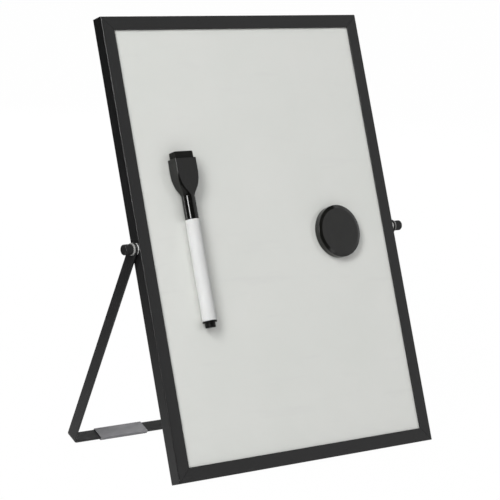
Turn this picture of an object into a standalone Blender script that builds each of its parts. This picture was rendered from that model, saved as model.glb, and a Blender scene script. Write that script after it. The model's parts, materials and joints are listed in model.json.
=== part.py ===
"""A small double-sided desktop whiteboard on a swinging stand, with its marker and a round magnet.

Lengths are metres and +Z is up. The board leans back on the rear edge of its frame, and a flat bar bent
to a U swings about two thumb screws at half the board's height. The origin is on the ground, under the
middle of the standing board.
"""

from math import acos, atan2, cos, hypot, pi, radians, sin, sqrt, tan, tau

import bmesh
import bpy
from mathutils import Vector

for old in list(bpy.data.objects):
    bpy.data.objects.remove(old, do_unlink=True)

# Clearances
SEAT_GAP = 0.0003
STACK_GAP = 0.00015
LIP_GAP = 0.0003
MITRE_GAP = 0.0002
RUNNING_GAP = 0.0003
SLEEVE_GAP = 0.00015
STUD_GAP = 0.0001
CAP_GAP = 0.0001
PASS_GAP = 0.0008
OVERRUN = 0.002
MERGE_DISTANCE = 0.000001

# Board and its frame rails
BOARD_WIDTH = 0.254
BOARD_HEIGHT = 0.3556
BOARD_TILT = radians(20.6)
RAIL_FACE = 0.0108
RAIL_DEPTH = 0.011
RAIL_WALL = 0.0012
RAIL_CORNER_RADIUS = 0.0008
LIP_RADIUS = 0.0003
CHAMBER_WIDTH = 0.0038

# Panel in the rails' slots
SHEET_THICKNESS = 0.0004
GLUE_GAP = 0.0002

# Corner keys in the rails' chambers
KEY_LEG = 0.022
KEY_TIP_CHAMFER = 0.001
KEY_NOTCH_PITCH = 0.004
KEY_NOTCH_DEPTH = 0.0006
KEY_NOTCHES = 4

# Pivots: stud, nut block, washers and thumb knob on one axis
STUD_RADIUS = 0.002
STUD_CHAMFER = 0.0004
NUT_LENGTH = 0.010
NUT_CORNER_RADIUS = 0.0005
WASHER_RADIUS = 0.005
WASHER_CHAMFER = 0.00015
INNER_WASHER_THICKNESS = 0.0012
OUTER_WASHER_THICKNESS = 0.0012
KNOB_RADIUS = 0.0041
KNOB_LENGTH = 0.007
KNOB_BEVEL = 0.0009
KNOB_COLLAR = 0.0007
KNOB_BORE_DEPTH = 0.005
KNURL_DEPTH = 0.0002
KNURL_TEETH = 28

# Stand: one flat bar, punched, rounded at both ends and bent twice
BAR_WIDTH = 0.0106
BAR_THICKNESS = 0.0015
BAR_BEND_RADIUS = 0.002
BAR_EDGE_BREAK = 0.0002
BEND_STEPS = 6

# Grip sleeves on the stand's bottom bar
SLEEVE_LENGTH = 0.045
SLEEVE_WALL = 0.00065
SLEEVE_RADIUS = 0.0007
SLEEVE_INSET = 0.0225

# Marker
BARREL_RADIUS = 0.0055
BARREL_WALL = 0.001
BARREL_LENGTH = 0.0781
BARREL_EDGE = 0.0004
NECK_RADIUS = 0.0043
NECK_LENGTH = 0.009
NOSE_RADIUS = 0.0026
NOSE_LENGTH = 0.008
NIB_RADIUS = 0.0016
NIB_OUT = 0.0045
NIB_IN = 0.011
NIB_ROUND = 0.001
RESERVOIR_LENGTH = 0.058
PLUG_FLANGE_RADIUS = 0.0056
PLUG_FLANGE_THICKNESS = 0.0014
PLUG_BOSS_RADIUS = 0.0041
PLUG_BOSS_LENGTH = 0.0037
PLUG_SPIGOT_LENGTH = 0.007
PLUG_EDGE = 0.0003

# Marker cap with its eraser head
CAP_NECK_RADIUS = 0.0053
CAP_NECK_LENGTH = 0.018
CAP_HEAD_WIDTH = 0.0196
CAP_HEAD_THICKNESS = 0.011
CAP_HEAD_LENGTH = 0.0292
CAP_HEAD_EDGE = 0.0009
CAP_TOP_EDGE = 0.0004
CAP_BORE_DEPTH = 0.025
CAP_STEP_DEPTH = 0.0115
CAP_STEP_RADIUS = 0.0038
CAP_MOUTH_CHAMFER = 0.0003
FELT_WIDTH = 0.0168
FELT_THICKNESS = 0.0086
FELT_OUT = 0.0053
FELT_IN = 0.003
FELT_RADIUS = 0.0006
CAP_MAGNET_RADIUS = 0.004
CAP_MAGNET_THICKNESS = 0.002
CAP_WEB = 0.0016
CAP_MAGNET_EDGE = 0.0002

# Round magnet
MAGNET_RADIUS = 0.0211
MAGNET_THICKNESS = 0.006
MAGNET_FACE_RADIUS = 0.0183
MAGNET_WALL_HEIGHT = 0.0052
MAGNET_SHELL = 0.0016
MAGNET_BASE_EDGE = 0.0004
MAGNET_SHOULDER_ROUND = 0.0004
MAGNET_DISC_RADIUS = 0.0155
MAGNET_DISC_EDGE = 0.0003

# How finely round shapes are cut
CORNER_STEPS = 4
SMALL_CORNER_STEPS = 2
BORE_STEPS = 24
SMALL_STEPS = 32
ROUND_STEPS = 40
WIDE_STEPS = 64
SHARP_ANGLE = radians(32)

# Where the marker's mouth and the magnet's middle lie: shares of the board's width and height
MARKER_PLACE_SHARES = (-0.3064, 0.5482)
MAGNET_PLACE_SHARES = (0.2584, 0.496)

# Shares of the cap head, from its neck to its top: length, growth in width, sharpening of its corners
CAP_HEAD_SHARES = (
    (0.0, 0.0, 0.0),
    (0.06, 0.05, 0.2),
    (0.13, 0.24, 0.42),
    (0.21, 0.5, 0.6),
    (0.3, 0.72, 0.74),
    (0.43, 0.9, 0.9),
    (0.57, 0.98, 0.98),
    (0.72, 1.0, 1.0),
    (0.86, 0.99, 1.0),
)

# Places worked out from the sizes above
SLOT_FLOOR = RAIL_WALL + CHAMBER_WIDTH + RAIL_WALL
SHEET_FACE = RAIL_WALL + LIP_GAP
PANEL_WIDTH = BOARD_WIDTH - 2 * (SLOT_FLOOR + LIP_GAP)
PANEL_HEIGHT = BOARD_HEIGHT - 2 * (SLOT_FLOOR + LIP_GAP)
CORE_FACE = SHEET_FACE + SHEET_THICKNESS + GLUE_GAP
CORE_THICKNESS = RAIL_DEPTH - 2 * CORE_FACE
PIVOT_DEPTH = RAIL_DEPTH / 2
PIVOT_HEIGHT = BOARD_HEIGHT / 2
BORE_RADIUS = STUD_RADIUS + STUD_GAP
ARM_FACE = INNER_WASHER_THICKNESS + 2 * STACK_GAP
ARM_OUTSIDE = ARM_FACE + BAR_THICKNESS
OUTER_WASHER_FACE = ARM_OUTSIDE + STACK_GAP
KNOB_FACE = OUTER_WASHER_FACE + OUTER_WASHER_THICKNESS + STACK_GAP
SLEEVE_GROWTH = SLEEVE_GAP + SLEEVE_WALL
SLEEVE_OFFSET = BOARD_WIDTH / 2 - SLEEVE_INSET - SLEEVE_LENGTH / 2
FRAME_SWEEP = hypot(PIVOT_HEIGHT, PIVOT_DEPTH)
STAND_REACH = FRAME_SWEEP + PASS_GAP + SLEEVE_GROWTH + BAR_THICKNESS


def stand_angle():
    """How far the arms lean from vertical, so that frame and sleeves both meet the ground."""
    corner = BAR_WIDTH / 2 + SLEEVE_GROWTH - SLEEVE_RADIUS
    reach = STAND_REACH + SLEEVE_GROWTH - SLEEVE_RADIUS
    drop = pivot_rise() - ground_level() - SLEEVE_RADIUS
    return atan2(corner, reach) + acos(drop / hypot(corner, reach))


def pivot_rise():
    """Height of the pivot axis over the frame's lower front edge."""
    return PIVOT_HEIGHT * cos(BOARD_TILT) - PIVOT_DEPTH * sin(BOARD_TILT)


def pivot_setback():
    """Distance of the pivot axis behind the frame's lower front edge."""
    return PIVOT_HEIGHT * sin(BOARD_TILT) + PIVOT_DEPTH * cos(BOARD_TILT)


def ground_level():
    """Height of the ground over the frame's lower front edge, which is held up by its rear edge."""
    corner_depth = RAIL_DEPTH - RAIL_CORNER_RADIUS
    corner = RAIL_CORNER_RADIUS * cos(BOARD_TILT) - corner_depth * sin(BOARD_TILT)
    return corner - RAIL_CORNER_RADIUS


def depth_limits():
    """Foremost and rearmost reach of the standing board, from the frame's lower front edge."""
    radius = RAIL_CORNER_RADIUS
    front = radius * cos(BOARD_TILT) + radius * sin(BOARD_TILT) - radius
    top_rear = (RAIL_DEPTH - radius) * cos(BOARD_TILT) + (BOARD_HEIGHT - radius) * sin(BOARD_TILT) + radius
    lean = stand_angle()
    corner = BAR_WIDTH / 2 + SLEEVE_GROWTH - SLEEVE_RADIUS
    reach = STAND_REACH + SLEEVE_GROWTH - SLEEVE_RADIUS
    foot_rear = pivot_setback() + corner * cos(lean) + reach * sin(lean) + SLEEVE_RADIUS
    return front, max(top_rear, foot_rear)


# Outlines in two dimensions
def rounded(corners, steps=CORNER_STEPS):
    """A loop of points through (x, y, radius) corners, each corner turned into an arc of its radius."""
    points = []
    for index, (x, y, radius) in enumerate(corners):
        corner = Vector((x, y))
        if not radius:
            points.append(corner)
            continue
        back = (Vector(corners[index - 1][:2]) - corner).normalized()
        ahead = (Vector(corners[(index + 1) % len(corners)][:2]) - corner).normalized()
        half = back.angle(ahead) / 2
        centre = corner + (back + ahead).normalized() * (radius / sin(half))
        start = corner + back * (radius / tan(half)) - centre
        end = corner + ahead * (radius / tan(half)) - centre
        sweep = start.angle(end)
        for step in range(steps + 1):
            share = step / steps
            arm = start * sin((1 - share) * sweep) + end * sin(share * sweep)
            points.append(centre + arm / sin(sweep))
    return points


def box_outline(width, height, radius, steps=CORNER_STEPS):
    """A rectangle about the origin with rounded corners."""
    x, y = width / 2, height / 2
    return rounded([(x, y, radius), (-x, y, radius), (-x, -y, radius), (x, -y, radius)], steps)


def circle(radius, steps, x=0.0):
    """A circle of points with its centre on the X axis."""
    turns = [tau * step / steps for step in range(steps)]
    return [Vector((x + radius * cos(turn), radius * sin(turn))) for turn in turns]


# Solids as bmesh shapes
def tidy(shape):
    """Merge what meets and turn every face outwards."""
    bmesh.ops.remove_doubles(shape, verts=shape.verts, dist=MERGE_DISTANCE)
    bmesh.ops.recalc_face_normals(shape, faces=shape.faces)
    return shape


def prism(outline, height, holes=()):
    """A straight solid on the XY plane, from z = 0 up to its height, with its holes right through."""
    shape = bmesh.new()
    edges = []
    for loop in (outline, *holes):
        ring = [shape.verts.new((x, y, 0)) for x, y in loop]
        edges += [shape.edges.new(pair) for pair in zip(ring, ring[1:] + ring[:1])]
    bmesh.ops.triangle_fill(shape, edges=edges, use_beauty=True, use_dissolve=False)
    made = bmesh.ops.extrude_face_region(shape, geom=shape.faces[:])["geom"]
    raised = [item for item in made if isinstance(item, bmesh.types.BMVert)]
    bmesh.ops.translate(shape, verts=raised, vec=(0, 0, height))
    return tidy(shape)


def turned(profile, steps, closed=False):
    """A solid spun about Z from (radius, height) points: from axis to axis, or a closed ring."""
    shape = bmesh.new()
    points = [shape.verts.new((radius, 0, height)) for radius, height in profile]
    pairs = list(zip(points, points[1:]))
    if closed:
        pairs.append((points[-1], points[0]))
    lines = [shape.edges.new(pair) for pair in pairs]
    bmesh.ops.spin(
        shape, geom=points + lines, cent=(0, 0, 0), axis=(0, 0, 1), angle=tau, steps=steps, use_merge=True
    )
    return tidy(shape)


def lofted(rings):
    """A solid through rings of equally many points, closed by a flat face at each end."""
    shape = bmesh.new()
    loops = [[shape.verts.new(point) for point in ring] for ring in rings]
    for lower, upper in zip(loops, loops[1:]):
        for index in range(len(lower)):
            shape.faces.new((lower[index - 1], lower[index], upper[index], upper[index - 1]))
    shape.faces.new(loops[0])
    shape.faces.new(loops[-1])
    return tidy(shape)


def block(width, depth, height):
    """A plain box about the origin in X and Z, from y = 0 back to its depth."""
    shape = prism(box_outline(width, height, 0), depth)
    for vert in shape.verts:
        x, z, y = vert.co
        vert.co = (x, y, z)
    return tidy(shape)


def bisect(shape, axis, place):
    """Add a line of edges all round the shape where it crosses a plane."""
    everything = shape.verts[:] + shape.edges[:] + shape.faces[:]
    point = [0, 0, 0]
    point[axis] = place
    normal = [0, 0, 0]
    normal[axis] = 1
    bmesh.ops.bisect_plane(shape, geom=everything, plane_co=point, plane_no=normal)


# Objects, finishes and joints' axes
def finish(name, color, roughness, metallic=0.0):
    """A Principled material with one colour."""
    made = bpy.data.materials.new(name)
    made.use_nodes = True
    shader = made.node_tree.nodes["Principled BSDF"]
    shader.inputs["Base Color"].default_value = (*color, 1)
    shader.inputs["Roughness"].default_value = roughness
    shader.inputs["Metallic"].default_value = metallic
    made.diffuse_color = (*color, 1)
    return made


def axes(name, parent=None, location=(0, 0, 0), rotation=(0, 0, 0)):
    """An empty that carries pieces: a body's own axes."""
    empty = bpy.data.objects.new(name, None)
    bpy.context.scene.collection.objects.link(empty)
    empty.parent = parent
    empty.location = location
    empty.rotation_euler = rotation
    return empty


def piece(name, shape, parent, material, location=(0, 0, 0), rotation=(0, 0, 0)):
    """One node: a named object of its own, with its material."""
    mesh = bpy.data.meshes.new(name)
    shape.to_mesh(mesh)
    shape.free()
    mesh.shade_smooth()
    mesh.set_sharp_from_angle(angle=SHARP_ANGLE)
    mesh.materials.append(material)
    node = bpy.data.objects.new(name, mesh)
    bpy.context.scene.collection.objects.link(node)
    node.parent = parent
    node.location = location
    node.rotation_euler = rotation
    return node


def cut(node, name, shape, location=(0, 0, 0), rotation=(0, 0, 0)):
    """Take a shape away from a node, placed in the node's own axes."""
    cutter = piece(name, shape, node, None, location, rotation)
    cutter.hide_render = True
    cutter.display_type = "WIRE"
    modifier = node.modifiers.new(name, "BOOLEAN")
    modifier.operation = "DIFFERENCE"
    modifier.object = cutter


def break_edges(node, width):
    """Take the sharpness off a node's edges."""
    modifier = node.modifiers.new("edge_break", "BEVEL")
    modifier.width = width
    modifier.segments = 1
    modifier.limit_method = "ANGLE"
    modifier.angle_limit = SHARP_ANGLE


FRAME_BLACK = finish("frame_black", (0.035, 0.035, 0.037), 0.42, 0.3)
SHEET_WHITE = finish("sheet_white", (0.68, 0.69, 0.66), 0.3)
CORE_BROWN = finish("core_brown", (0.36, 0.25, 0.15), 0.8)
KEY_GREY = finish("key_grey", (0.12, 0.12, 0.12), 0.6)
STEEL = finish("steel", (0.5, 0.5, 0.5), 0.3, 1.0)
WASHER_WHITE = finish("washer_white", (0.6, 0.6, 0.58), 0.45)
KNOB_BLACK = finish("knob_black", (0.02, 0.02, 0.02), 0.4)
BAR_BLACK = finish("bar_black", (0.04, 0.04, 0.042), 0.45)
SLEEVE_GREY = finish("sleeve_grey", (0.2, 0.2, 0.2), 0.7)
BARREL_WHITE = finish("barrel_white", (0.78, 0.78, 0.77), 0.3)
CAP_BLACK = finish("cap_black", (0.025, 0.025, 0.023), 0.25)
FELT_BLACK = finish("felt_black", (0.012, 0.012, 0.01), 0.95)
FIBRE_WHITE = finish("fibre_white", (0.7, 0.7, 0.66), 0.9)
FERRITE = finish("ferrite", (0.06, 0.06, 0.06), 0.6, 0.5)


# The frame
def rail_shape(length):
    """A slotted rail along X, its outer side at z = 0, mitred at both ends."""
    lip, far = RAIL_FACE, RAIL_DEPTH
    section = rounded(
        [
            (0, 0, RAIL_CORNER_RADIUS),
            (lip, 0, LIP_RADIUS),
            (lip, RAIL_WALL, LIP_RADIUS),
            (SLOT_FLOOR, RAIL_WALL, 0),
            (SLOT_FLOOR, far - RAIL_WALL, 0),
            (lip, far - RAIL_WALL, LIP_RADIUS),
            (lip, far, LIP_RADIUS),
            (0, far, RAIL_CORNER_RADIUS),
        ]
    )
    inner, outer = RAIL_WALL, RAIL_WALL + CHAMBER_WIDTH
    chamber = rounded(
        [(inner, inner, 0), (outer, inner, 0), (outer, far - RAIL_WALL, 0), (inner, far - RAIL_WALL, 0)]
    )
    shape = prism(section, length, [chamber])
    for vert in shape.verts:
        inward, back, along = vert.co
        end = length / 2 - inward - MITRE_GAP / sqrt(2)
        vert.co = (end if along else -end, back, inward)
    return tidy(shape)


def add_rails(board):
    """Four mitred rails, each turned so that its slot faces the middle of the board."""
    half_width, half_height = BOARD_WIDTH / 2, BOARD_HEIGHT / 2
    places = {
        "bottom": (BOARD_WIDTH, (0, 0, 0), 0),
        "top": (BOARD_WIDTH, (0, 0, BOARD_HEIGHT), pi),
        "left": (BOARD_HEIGHT, (-half_width, 0, half_height), pi / 2),
        "right": (BOARD_HEIGHT, (half_width, 0, half_height), -pi / 2),
    }
    rails = {}
    for side, (length, place, turn) in places.items():
        name = f"frame_{side}_rail"
        rails[side] = piece(name, rail_shape(length), board, FRAME_BLACK, place, (0, turn, 0))
    bore_length = RAIL_WALL + CHAMBER_WIDTH / 2 + OVERRUN
    for side in ("left", "right"):
        bore = prism(circle(BORE_RADIUS, BORE_STEPS), bore_length)
        cut(rails[side], f"pivot_bore_{side}", bore, (0, PIVOT_DEPTH, -OVERRUN))


def key_shape():
    """An L-shaped corner key with notched inner edges, its outer corner next to the origin."""
    outer = RAIL_WALL + SEAT_GAP
    inner = RAIL_WALL + CHAMBER_WIDTH - SEAT_GAP
    chamfer = KEY_TIP_CHAMFER
    leg = [(inner, inner)]
    for notch in range(KEY_NOTCHES):
        start = KEY_LEG - chamfer - (KEY_NOTCHES - notch) * KEY_NOTCH_PITCH
        leg += [(start, inner), (start, inner - KEY_NOTCH_DEPTH), (start + KEY_NOTCH_PITCH / 2, inner)]
    leg += [(KEY_LEG - chamfer, inner), (KEY_LEG, inner - chamfer), (KEY_LEG, outer + chamfer)]
    leg.append((KEY_LEG - chamfer, outer))
    other_leg = [(z, x) for x, z in reversed(leg[1:])]
    outline = [Vector(point) for point in leg + [(outer, outer)] + other_leg]
    shape = prism(outline, RAIL_DEPTH - 2 * (RAIL_WALL + SEAT_GAP))
    for vert in shape.verts:
        x, z, back = vert.co
        vert.co = (x, RAIL_WALL + SEAT_GAP + back, z)
    return tidy(shape)


def add_keys(board):
    """One key in each corner, turned a quarter from one corner to the next."""
    half_width = BOARD_WIDTH / 2
    corners = {
        "bottom_left": ((-half_width, 0, 0), 0),
        "bottom_right": ((half_width, 0, 0), -pi / 2),
        "top_right": ((half_width, 0, BOARD_HEIGHT), pi),
        "top_left": ((-half_width, 0, BOARD_HEIGHT), pi / 2),
    }
    for corner, (place, turn) in corners.items():
        piece(f"corner_key_{corner}", key_shape(), board, KEY_GREY, place, (0, turn, 0))


# The panel
def add_panel(board):
    """Two white steel sheets on a core board, held in the rails' slots."""
    middle = BOARD_HEIGHT / 2
    rear_face = RAIL_DEPTH - SHEET_FACE - SHEET_THICKNESS
    for side, face in (("front", SHEET_FACE), ("rear", rear_face)):
        sheet = block(PANEL_WIDTH, SHEET_THICKNESS, PANEL_HEIGHT)
        piece(f"{side}_writing_sheet", sheet, board, SHEET_WHITE, (0, face, middle))
    core = block(PANEL_WIDTH, CORE_THICKNESS, PANEL_HEIGHT)
    piece("panel_core", core, board, CORE_BROWN, (0, CORE_FACE, middle))


# The pivots
def washer_shape(thickness):
    """A flat washer with its edges broken, from z = 0 to its thickness."""
    edge = WASHER_CHAMFER
    profile = [
        (BORE_RADIUS, 0),
        (WASHER_RADIUS - edge, 0),
        (WASHER_RADIUS, edge),
        (WASHER_RADIUS, thickness - edge),
        (WASHER_RADIUS - edge, thickness),
        (BORE_RADIUS, thickness),
    ]
    return turned(profile, ROUND_STEPS, closed=True)


def nut_shape():
    """The threaded block that fills the rail's chamber behind the bore."""
    width = RAIL_DEPTH - 2 * (RAIL_WALL + SEAT_GAP)
    outline = box_outline(NUT_LENGTH, width, NUT_CORNER_RADIUS)
    return prism(outline, CHAMBER_WIDTH - 2 * SEAT_GAP, [circle(BORE_RADIUS, BORE_STEPS)])


def stud_shape():
    """The screw's shank, from the far side of the chamber into the knob."""
    low = SEAT_GAP - RAIL_WALL - CHAMBER_WIDTH
    high = KNOB_FACE + KNOB_BORE_DEPTH - SEAT_GAP
    edge = STUD_CHAMFER
    profile = [
        (0, low),
        (STUD_RADIUS - edge, low),
        (STUD_RADIUS, low + edge),
        (STUD_RADIUS, high - edge),
        (STUD_RADIUS - edge, high),
        (0, high),
    ]
    return turned(profile, BORE_STEPS)


def knob_ring(radius, height, depth):
    """One turn of a knurled outline: two points on each tooth and two in each valley."""
    points = []
    quarter = tau / KNURL_TEETH / 4
    for tooth in range(KNURL_TEETH):
        for corner, inset in enumerate((0, 0, depth, depth)):
            turn = (4 * tooth + corner) * quarter
            reach = radius - inset
            points.append((reach * cos(turn), reach * sin(turn), height))
    return points


def knob_shape():
    """A knurled thumb knob with a plain collar, a bevelled end and a blind bore for the stud."""
    bore = STUD_RADIUS + STACK_GAP
    low, high = KNOB_FACE, KNOB_FACE + KNOB_LENGTH
    rings = [
        knob_ring(bore, low + KNOB_BORE_DEPTH, 0),
        knob_ring(bore, low, 0),
        knob_ring(KNOB_RADIUS - KNURL_DEPTH, low, 0),
        knob_ring(KNOB_RADIUS - KNURL_DEPTH, low + KNOB_COLLAR, 0),
        knob_ring(KNOB_RADIUS, low + KNOB_COLLAR + KNURL_DEPTH, KNURL_DEPTH),
        knob_ring(KNOB_RADIUS, high - KNOB_BEVEL - KNURL_DEPTH, KNURL_DEPTH),
        knob_ring(KNOB_RADIUS - KNURL_DEPTH, high - KNOB_BEVEL, 0),
        knob_ring(KNOB_RADIUS - KNOB_BEVEL, high, 0),
    ]
    return lofted(rings)


def add_pivot(board, side, sign):
    """Nut block, washers and thumb screw on the pivot axis, whose +Z points out of the rail."""
    place = (sign * BOARD_WIDTH / 2, PIVOT_DEPTH, PIVOT_HEIGHT)
    fixed = axes(f"pivot_axes_{side}", board, place, (0, sign * pi / 2, 0))
    nut_place = (0, 0, SEAT_GAP - RAIL_WALL - CHAMBER_WIDTH)
    piece(f"pivot_nut_{side}", nut_shape(), fixed, STEEL, nut_place)
    inner = washer_shape(INNER_WASHER_THICKNESS)
    outer = washer_shape(OUTER_WASHER_THICKNESS)
    piece(f"inner_washer_{side}", inner, fixed, WASHER_WHITE, (0, 0, STACK_GAP))
    piece(f"outer_washer_{side}", outer, fixed, WASHER_WHITE, (0, 0, OUTER_WASHER_FACE))
    screw = axes(f"thumb_screw_{side}", board, place, (0, sign * pi / 2, 0))
    piece(f"thumb_knob_{side}", knob_shape(), screw, KNOB_BLACK)
    piece(f"knob_stud_{side}", stud_shape(), screw, STEEL)


# The stand
def bar_middle_line():
    """Half lengths of the bent bar's middle line: bottom run, bend and arm, and the bend's radius."""
    radius = BAR_BEND_RADIUS + BAR_THICKNESS / 2
    arm_x = BOARD_WIDTH / 2 + ARM_FACE + BAR_THICKNESS / 2
    bottom = arm_x - radius
    arm = STAND_REACH - BAR_THICKNESS / 2 - radius
    return bottom, radius * pi / 2, arm, radius


def bend(along, side, rise):
    """Where a point of the flat blank lands: along its length, over its width and through its thickness."""
    bottom, bend_length, _, radius = bar_middle_line()
    floor = BAR_THICKNESS / 2 - STAND_REACH
    way, distance = (1 if along > 0 else -1), abs(along)
    if distance <= bottom:
        return along, side, floor + rise
    if distance <= bottom + bend_length:
        turn = (distance - bottom) / radius
        x = bottom + (radius - rise) * sin(turn)
        return way * x, side, floor + radius - (radius - rise) * cos(turn)
    x = bottom + radius - rise
    return way * x, side, floor + radius + distance - bottom - bend_length


def bar_shape():
    """The stand's bar: a flat blank with round punched ends, cut across at its bends and bent to a U."""
    bottom, bend_length, arm, _ = bar_middle_line()
    half = bottom + bend_length + arm
    radius = BAR_WIDTH / 2
    turns = [pi * step / SMALL_STEPS * 2 - pi / 2 for step in range(SMALL_STEPS // 2 + 1)]
    end = [(half + radius * cos(turn), radius * sin(turn)) for turn in turns]
    outline = [Vector(point) for point in end + [(-x, -y) for x, y in end]]
    holes = [circle(BORE_RADIUS, BORE_STEPS, x) for x in (-half, half)]
    shape = prism(outline, BAR_THICKNESS, holes)
    for step in range(BEND_STEPS + 1):
        place = bottom + bend_length * step / BEND_STEPS
        bisect(shape, 0, place)
        bisect(shape, 0, -place)
    for vert in shape.verts:
        along, side, rise = vert.co
        vert.co = bend(along, side, rise - BAR_THICKNESS / 2)
    return tidy(shape)


def sleeve_shape():
    """A soft tube of flat section, slipped over the bar, centred on it and running along X."""
    gap = 2 * SLEEVE_GAP
    hole = box_outline(BAR_WIDTH + gap, BAR_THICKNESS + gap, 0)
    wall = 2 * SLEEVE_GROWTH
    outline = box_outline(BAR_WIDTH + wall, BAR_THICKNESS + wall, SLEEVE_RADIUS)
    shape = prism(outline, SLEEVE_LENGTH, [hole])
    for vert in shape.verts:
        side, rise, along = vert.co
        vert.co = (along - SLEEVE_LENGTH / 2, side, rise)
    return tidy(shape)


def add_stand(board):
    """The bar and its two grip sleeves, on axes at the pivot."""
    lean = stand_angle() + BOARD_TILT
    stand = axes("stand_axes", board, (0, PIVOT_DEPTH, PIVOT_HEIGHT), (lean, 0, 0))
    bar = piece("stand_bar", bar_shape(), stand, BAR_BLACK)
    break_edges(bar, BAR_EDGE_BREAK)
    for side, sign in (("left", -1), ("right", 1)):
        place = (sign * SLEEVE_OFFSET, 0, BAR_THICKNESS / 2 - STAND_REACH)
        piece(f"grip_sleeve_{side}", sleeve_shape(), stand, SLEEVE_GREY, place)


# The marker
def barrel_shape():
    """The hollow barrel with its stepped neck and nose, its shoulder at z = 0 and its nose up."""
    bore = BARREL_RADIUS - BARREL_WALL
    nib_bore = NIB_RADIUS + RUNNING_GAP
    neck_bore = NECK_RADIUS - BARREL_WALL
    nose_end = NECK_LENGTH + NOSE_LENGTH
    profile = [
        (bore, -BARREL_LENGTH),
        (BARREL_RADIUS - BARREL_EDGE, -BARREL_LENGTH),
        (BARREL_RADIUS, BARREL_EDGE - BARREL_LENGTH),
        (BARREL_RADIUS, -BARREL_EDGE),
        (BARREL_RADIUS - BARREL_EDGE, 0),
        (NECK_RADIUS, 0),
        (NECK_RADIUS, NECK_LENGTH),
        (NOSE_RADIUS, nose_end),
        (nib_bore, nose_end),
        (nib_bore, nose_end - BARREL_WALL),
        (neck_bore, NECK_LENGTH - BARREL_WALL),
        (neck_bore, -BARREL_WALL),
        (bore, -2 * BARREL_WALL),
    ]
    return turned(profile, ROUND_STEPS, closed=True)


def plug_shape():
    """The tail plug: a boss outside, a flange against the barrel and a spigot inside it."""
    face = -BARREL_LENGTH - STACK_GAP
    low = face - PLUG_FLANGE_THICKNESS
    end = low - PLUG_BOSS_LENGTH
    spigot = BARREL_RADIUS - BARREL_WALL - RUNNING_GAP
    edge = PLUG_EDGE
    profile = [
        (0, end),
        (PLUG_BOSS_RADIUS - edge, end),
        (PLUG_BOSS_RADIUS, end + edge),
        (PLUG_BOSS_RADIUS, low),
        (PLUG_FLANGE_RADIUS - edge, low),
        (PLUG_FLANGE_RADIUS, low + edge),
        (PLUG_FLANGE_RADIUS, face),
        (spigot, face),
        (spigot, face + PLUG_SPIGOT_LENGTH - edge),
        (spigot - edge, face + PLUG_SPIGOT_LENGTH),
        (0, face + PLUG_SPIGOT_LENGTH),
    ]
    return turned(profile, ROUND_STEPS)


def reservoir_shape():
    """The fibre rod that holds the ink, between the plug and the nib."""
    radius = BARREL_RADIUS - BARREL_WALL - RUNNING_GAP
    low = PLUG_SPIGOT_LENGTH + SEAT_GAP - BARREL_LENGTH
    high = low + RESERVOIR_LENGTH
    edge = PLUG_EDGE
    profile = [(0, low), (radius - edge, low), (radius, low + edge), (radius, high - edge)]
    profile += [(radius - edge, high), (0, high)]
    return turned(profile, SMALL_STEPS)


def nib_shape():
    """The bullet nib, from inside the neck to its round tip."""
    nose_end = NECK_LENGTH + NOSE_LENGTH
    tip = nose_end + NIB_OUT
    flat = NIB_RADIUS - NIB_ROUND
    profile = [(0, nose_end - NIB_IN), (NIB_RADIUS, nose_end - NIB_IN), (NIB_RADIUS, tip - NIB_ROUND)]
    for step in range(1, CORNER_STEPS + 1):
        turn = pi / 2 * step / CORNER_STEPS
        profile.append((flat + NIB_ROUND * cos(turn), tip - NIB_ROUND + NIB_ROUND * sin(turn)))
    profile.append((0, tip))
    return turned(profile, BORE_STEPS)


def cap_ring(half_width, half_depth, radius, height):
    """One section of the cap: a rectangle with rounded corners, which is a circle at the neck."""
    outline = box_outline(2 * half_width, 2 * half_depth, radius, 2 * CORNER_STEPS)
    return [(x, y, height) for x, y in outline]


def cap_shape():
    """The cap's outside: a round neck that flattens into a shield-shaped head."""
    neck = CAP_NECK_RADIUS
    edge = CAP_MOUTH_CHAMFER
    full, deep = CAP_HEAD_WIDTH / 2, CAP_HEAD_THICKNESS / 2
    almost_round = neck - MERGE_DISTANCE
    rings = [cap_ring(neck - edge, neck - edge, almost_round - edge, STACK_GAP)]
    rings.append(cap_ring(neck, neck, almost_round, STACK_GAP + edge))
    for length_share, width_share, corner_share in CAP_HEAD_SHARES:
        half_width = neck + (full - neck) * width_share
        half_depth = neck + (deep - neck) * width_share
        radius = almost_round + (CAP_HEAD_EDGE - almost_round) * corner_share
        height = CAP_NECK_LENGTH + CAP_HEAD_LENGTH * length_share
        rings.append(cap_ring(half_width, half_depth, radius, height))
    top = CAP_NECK_LENGTH + CAP_HEAD_LENGTH
    edge = CAP_TOP_EDGE
    rings.append(cap_ring(full - edge, deep, CAP_HEAD_EDGE, top - edge))
    rings.append(cap_ring(full - 2 * edge, deep - edge, CAP_HEAD_EDGE, top))
    return lofted(rings)


def cap_bore_shape():
    """What the cap leaves free for the neck, nose and nib: a stepped bore that is open at the mouth."""
    wide = NECK_RADIUS + CAP_GAP
    profile = [
        (0, -OVERRUN),
        (wide, -OVERRUN),
        (wide, CAP_STEP_DEPTH),
        (CAP_STEP_RADIUS, CAP_STEP_DEPTH + wide - CAP_STEP_RADIUS),
        (CAP_STEP_RADIUS, CAP_BORE_DEPTH),
        (0, CAP_BORE_DEPTH),
    ]
    return turned(profile, SMALL_STEPS)


def disc_shape(radius, thickness, edge, steps):
    """A disc from z = 0 to its thickness, with broken edges."""
    profile = [(0, 0), (radius - edge, 0), (radius, edge), (radius, thickness - edge)]
    profile += [(radius - edge, thickness), (0, thickness)]
    return turned(profile, steps)


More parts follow.
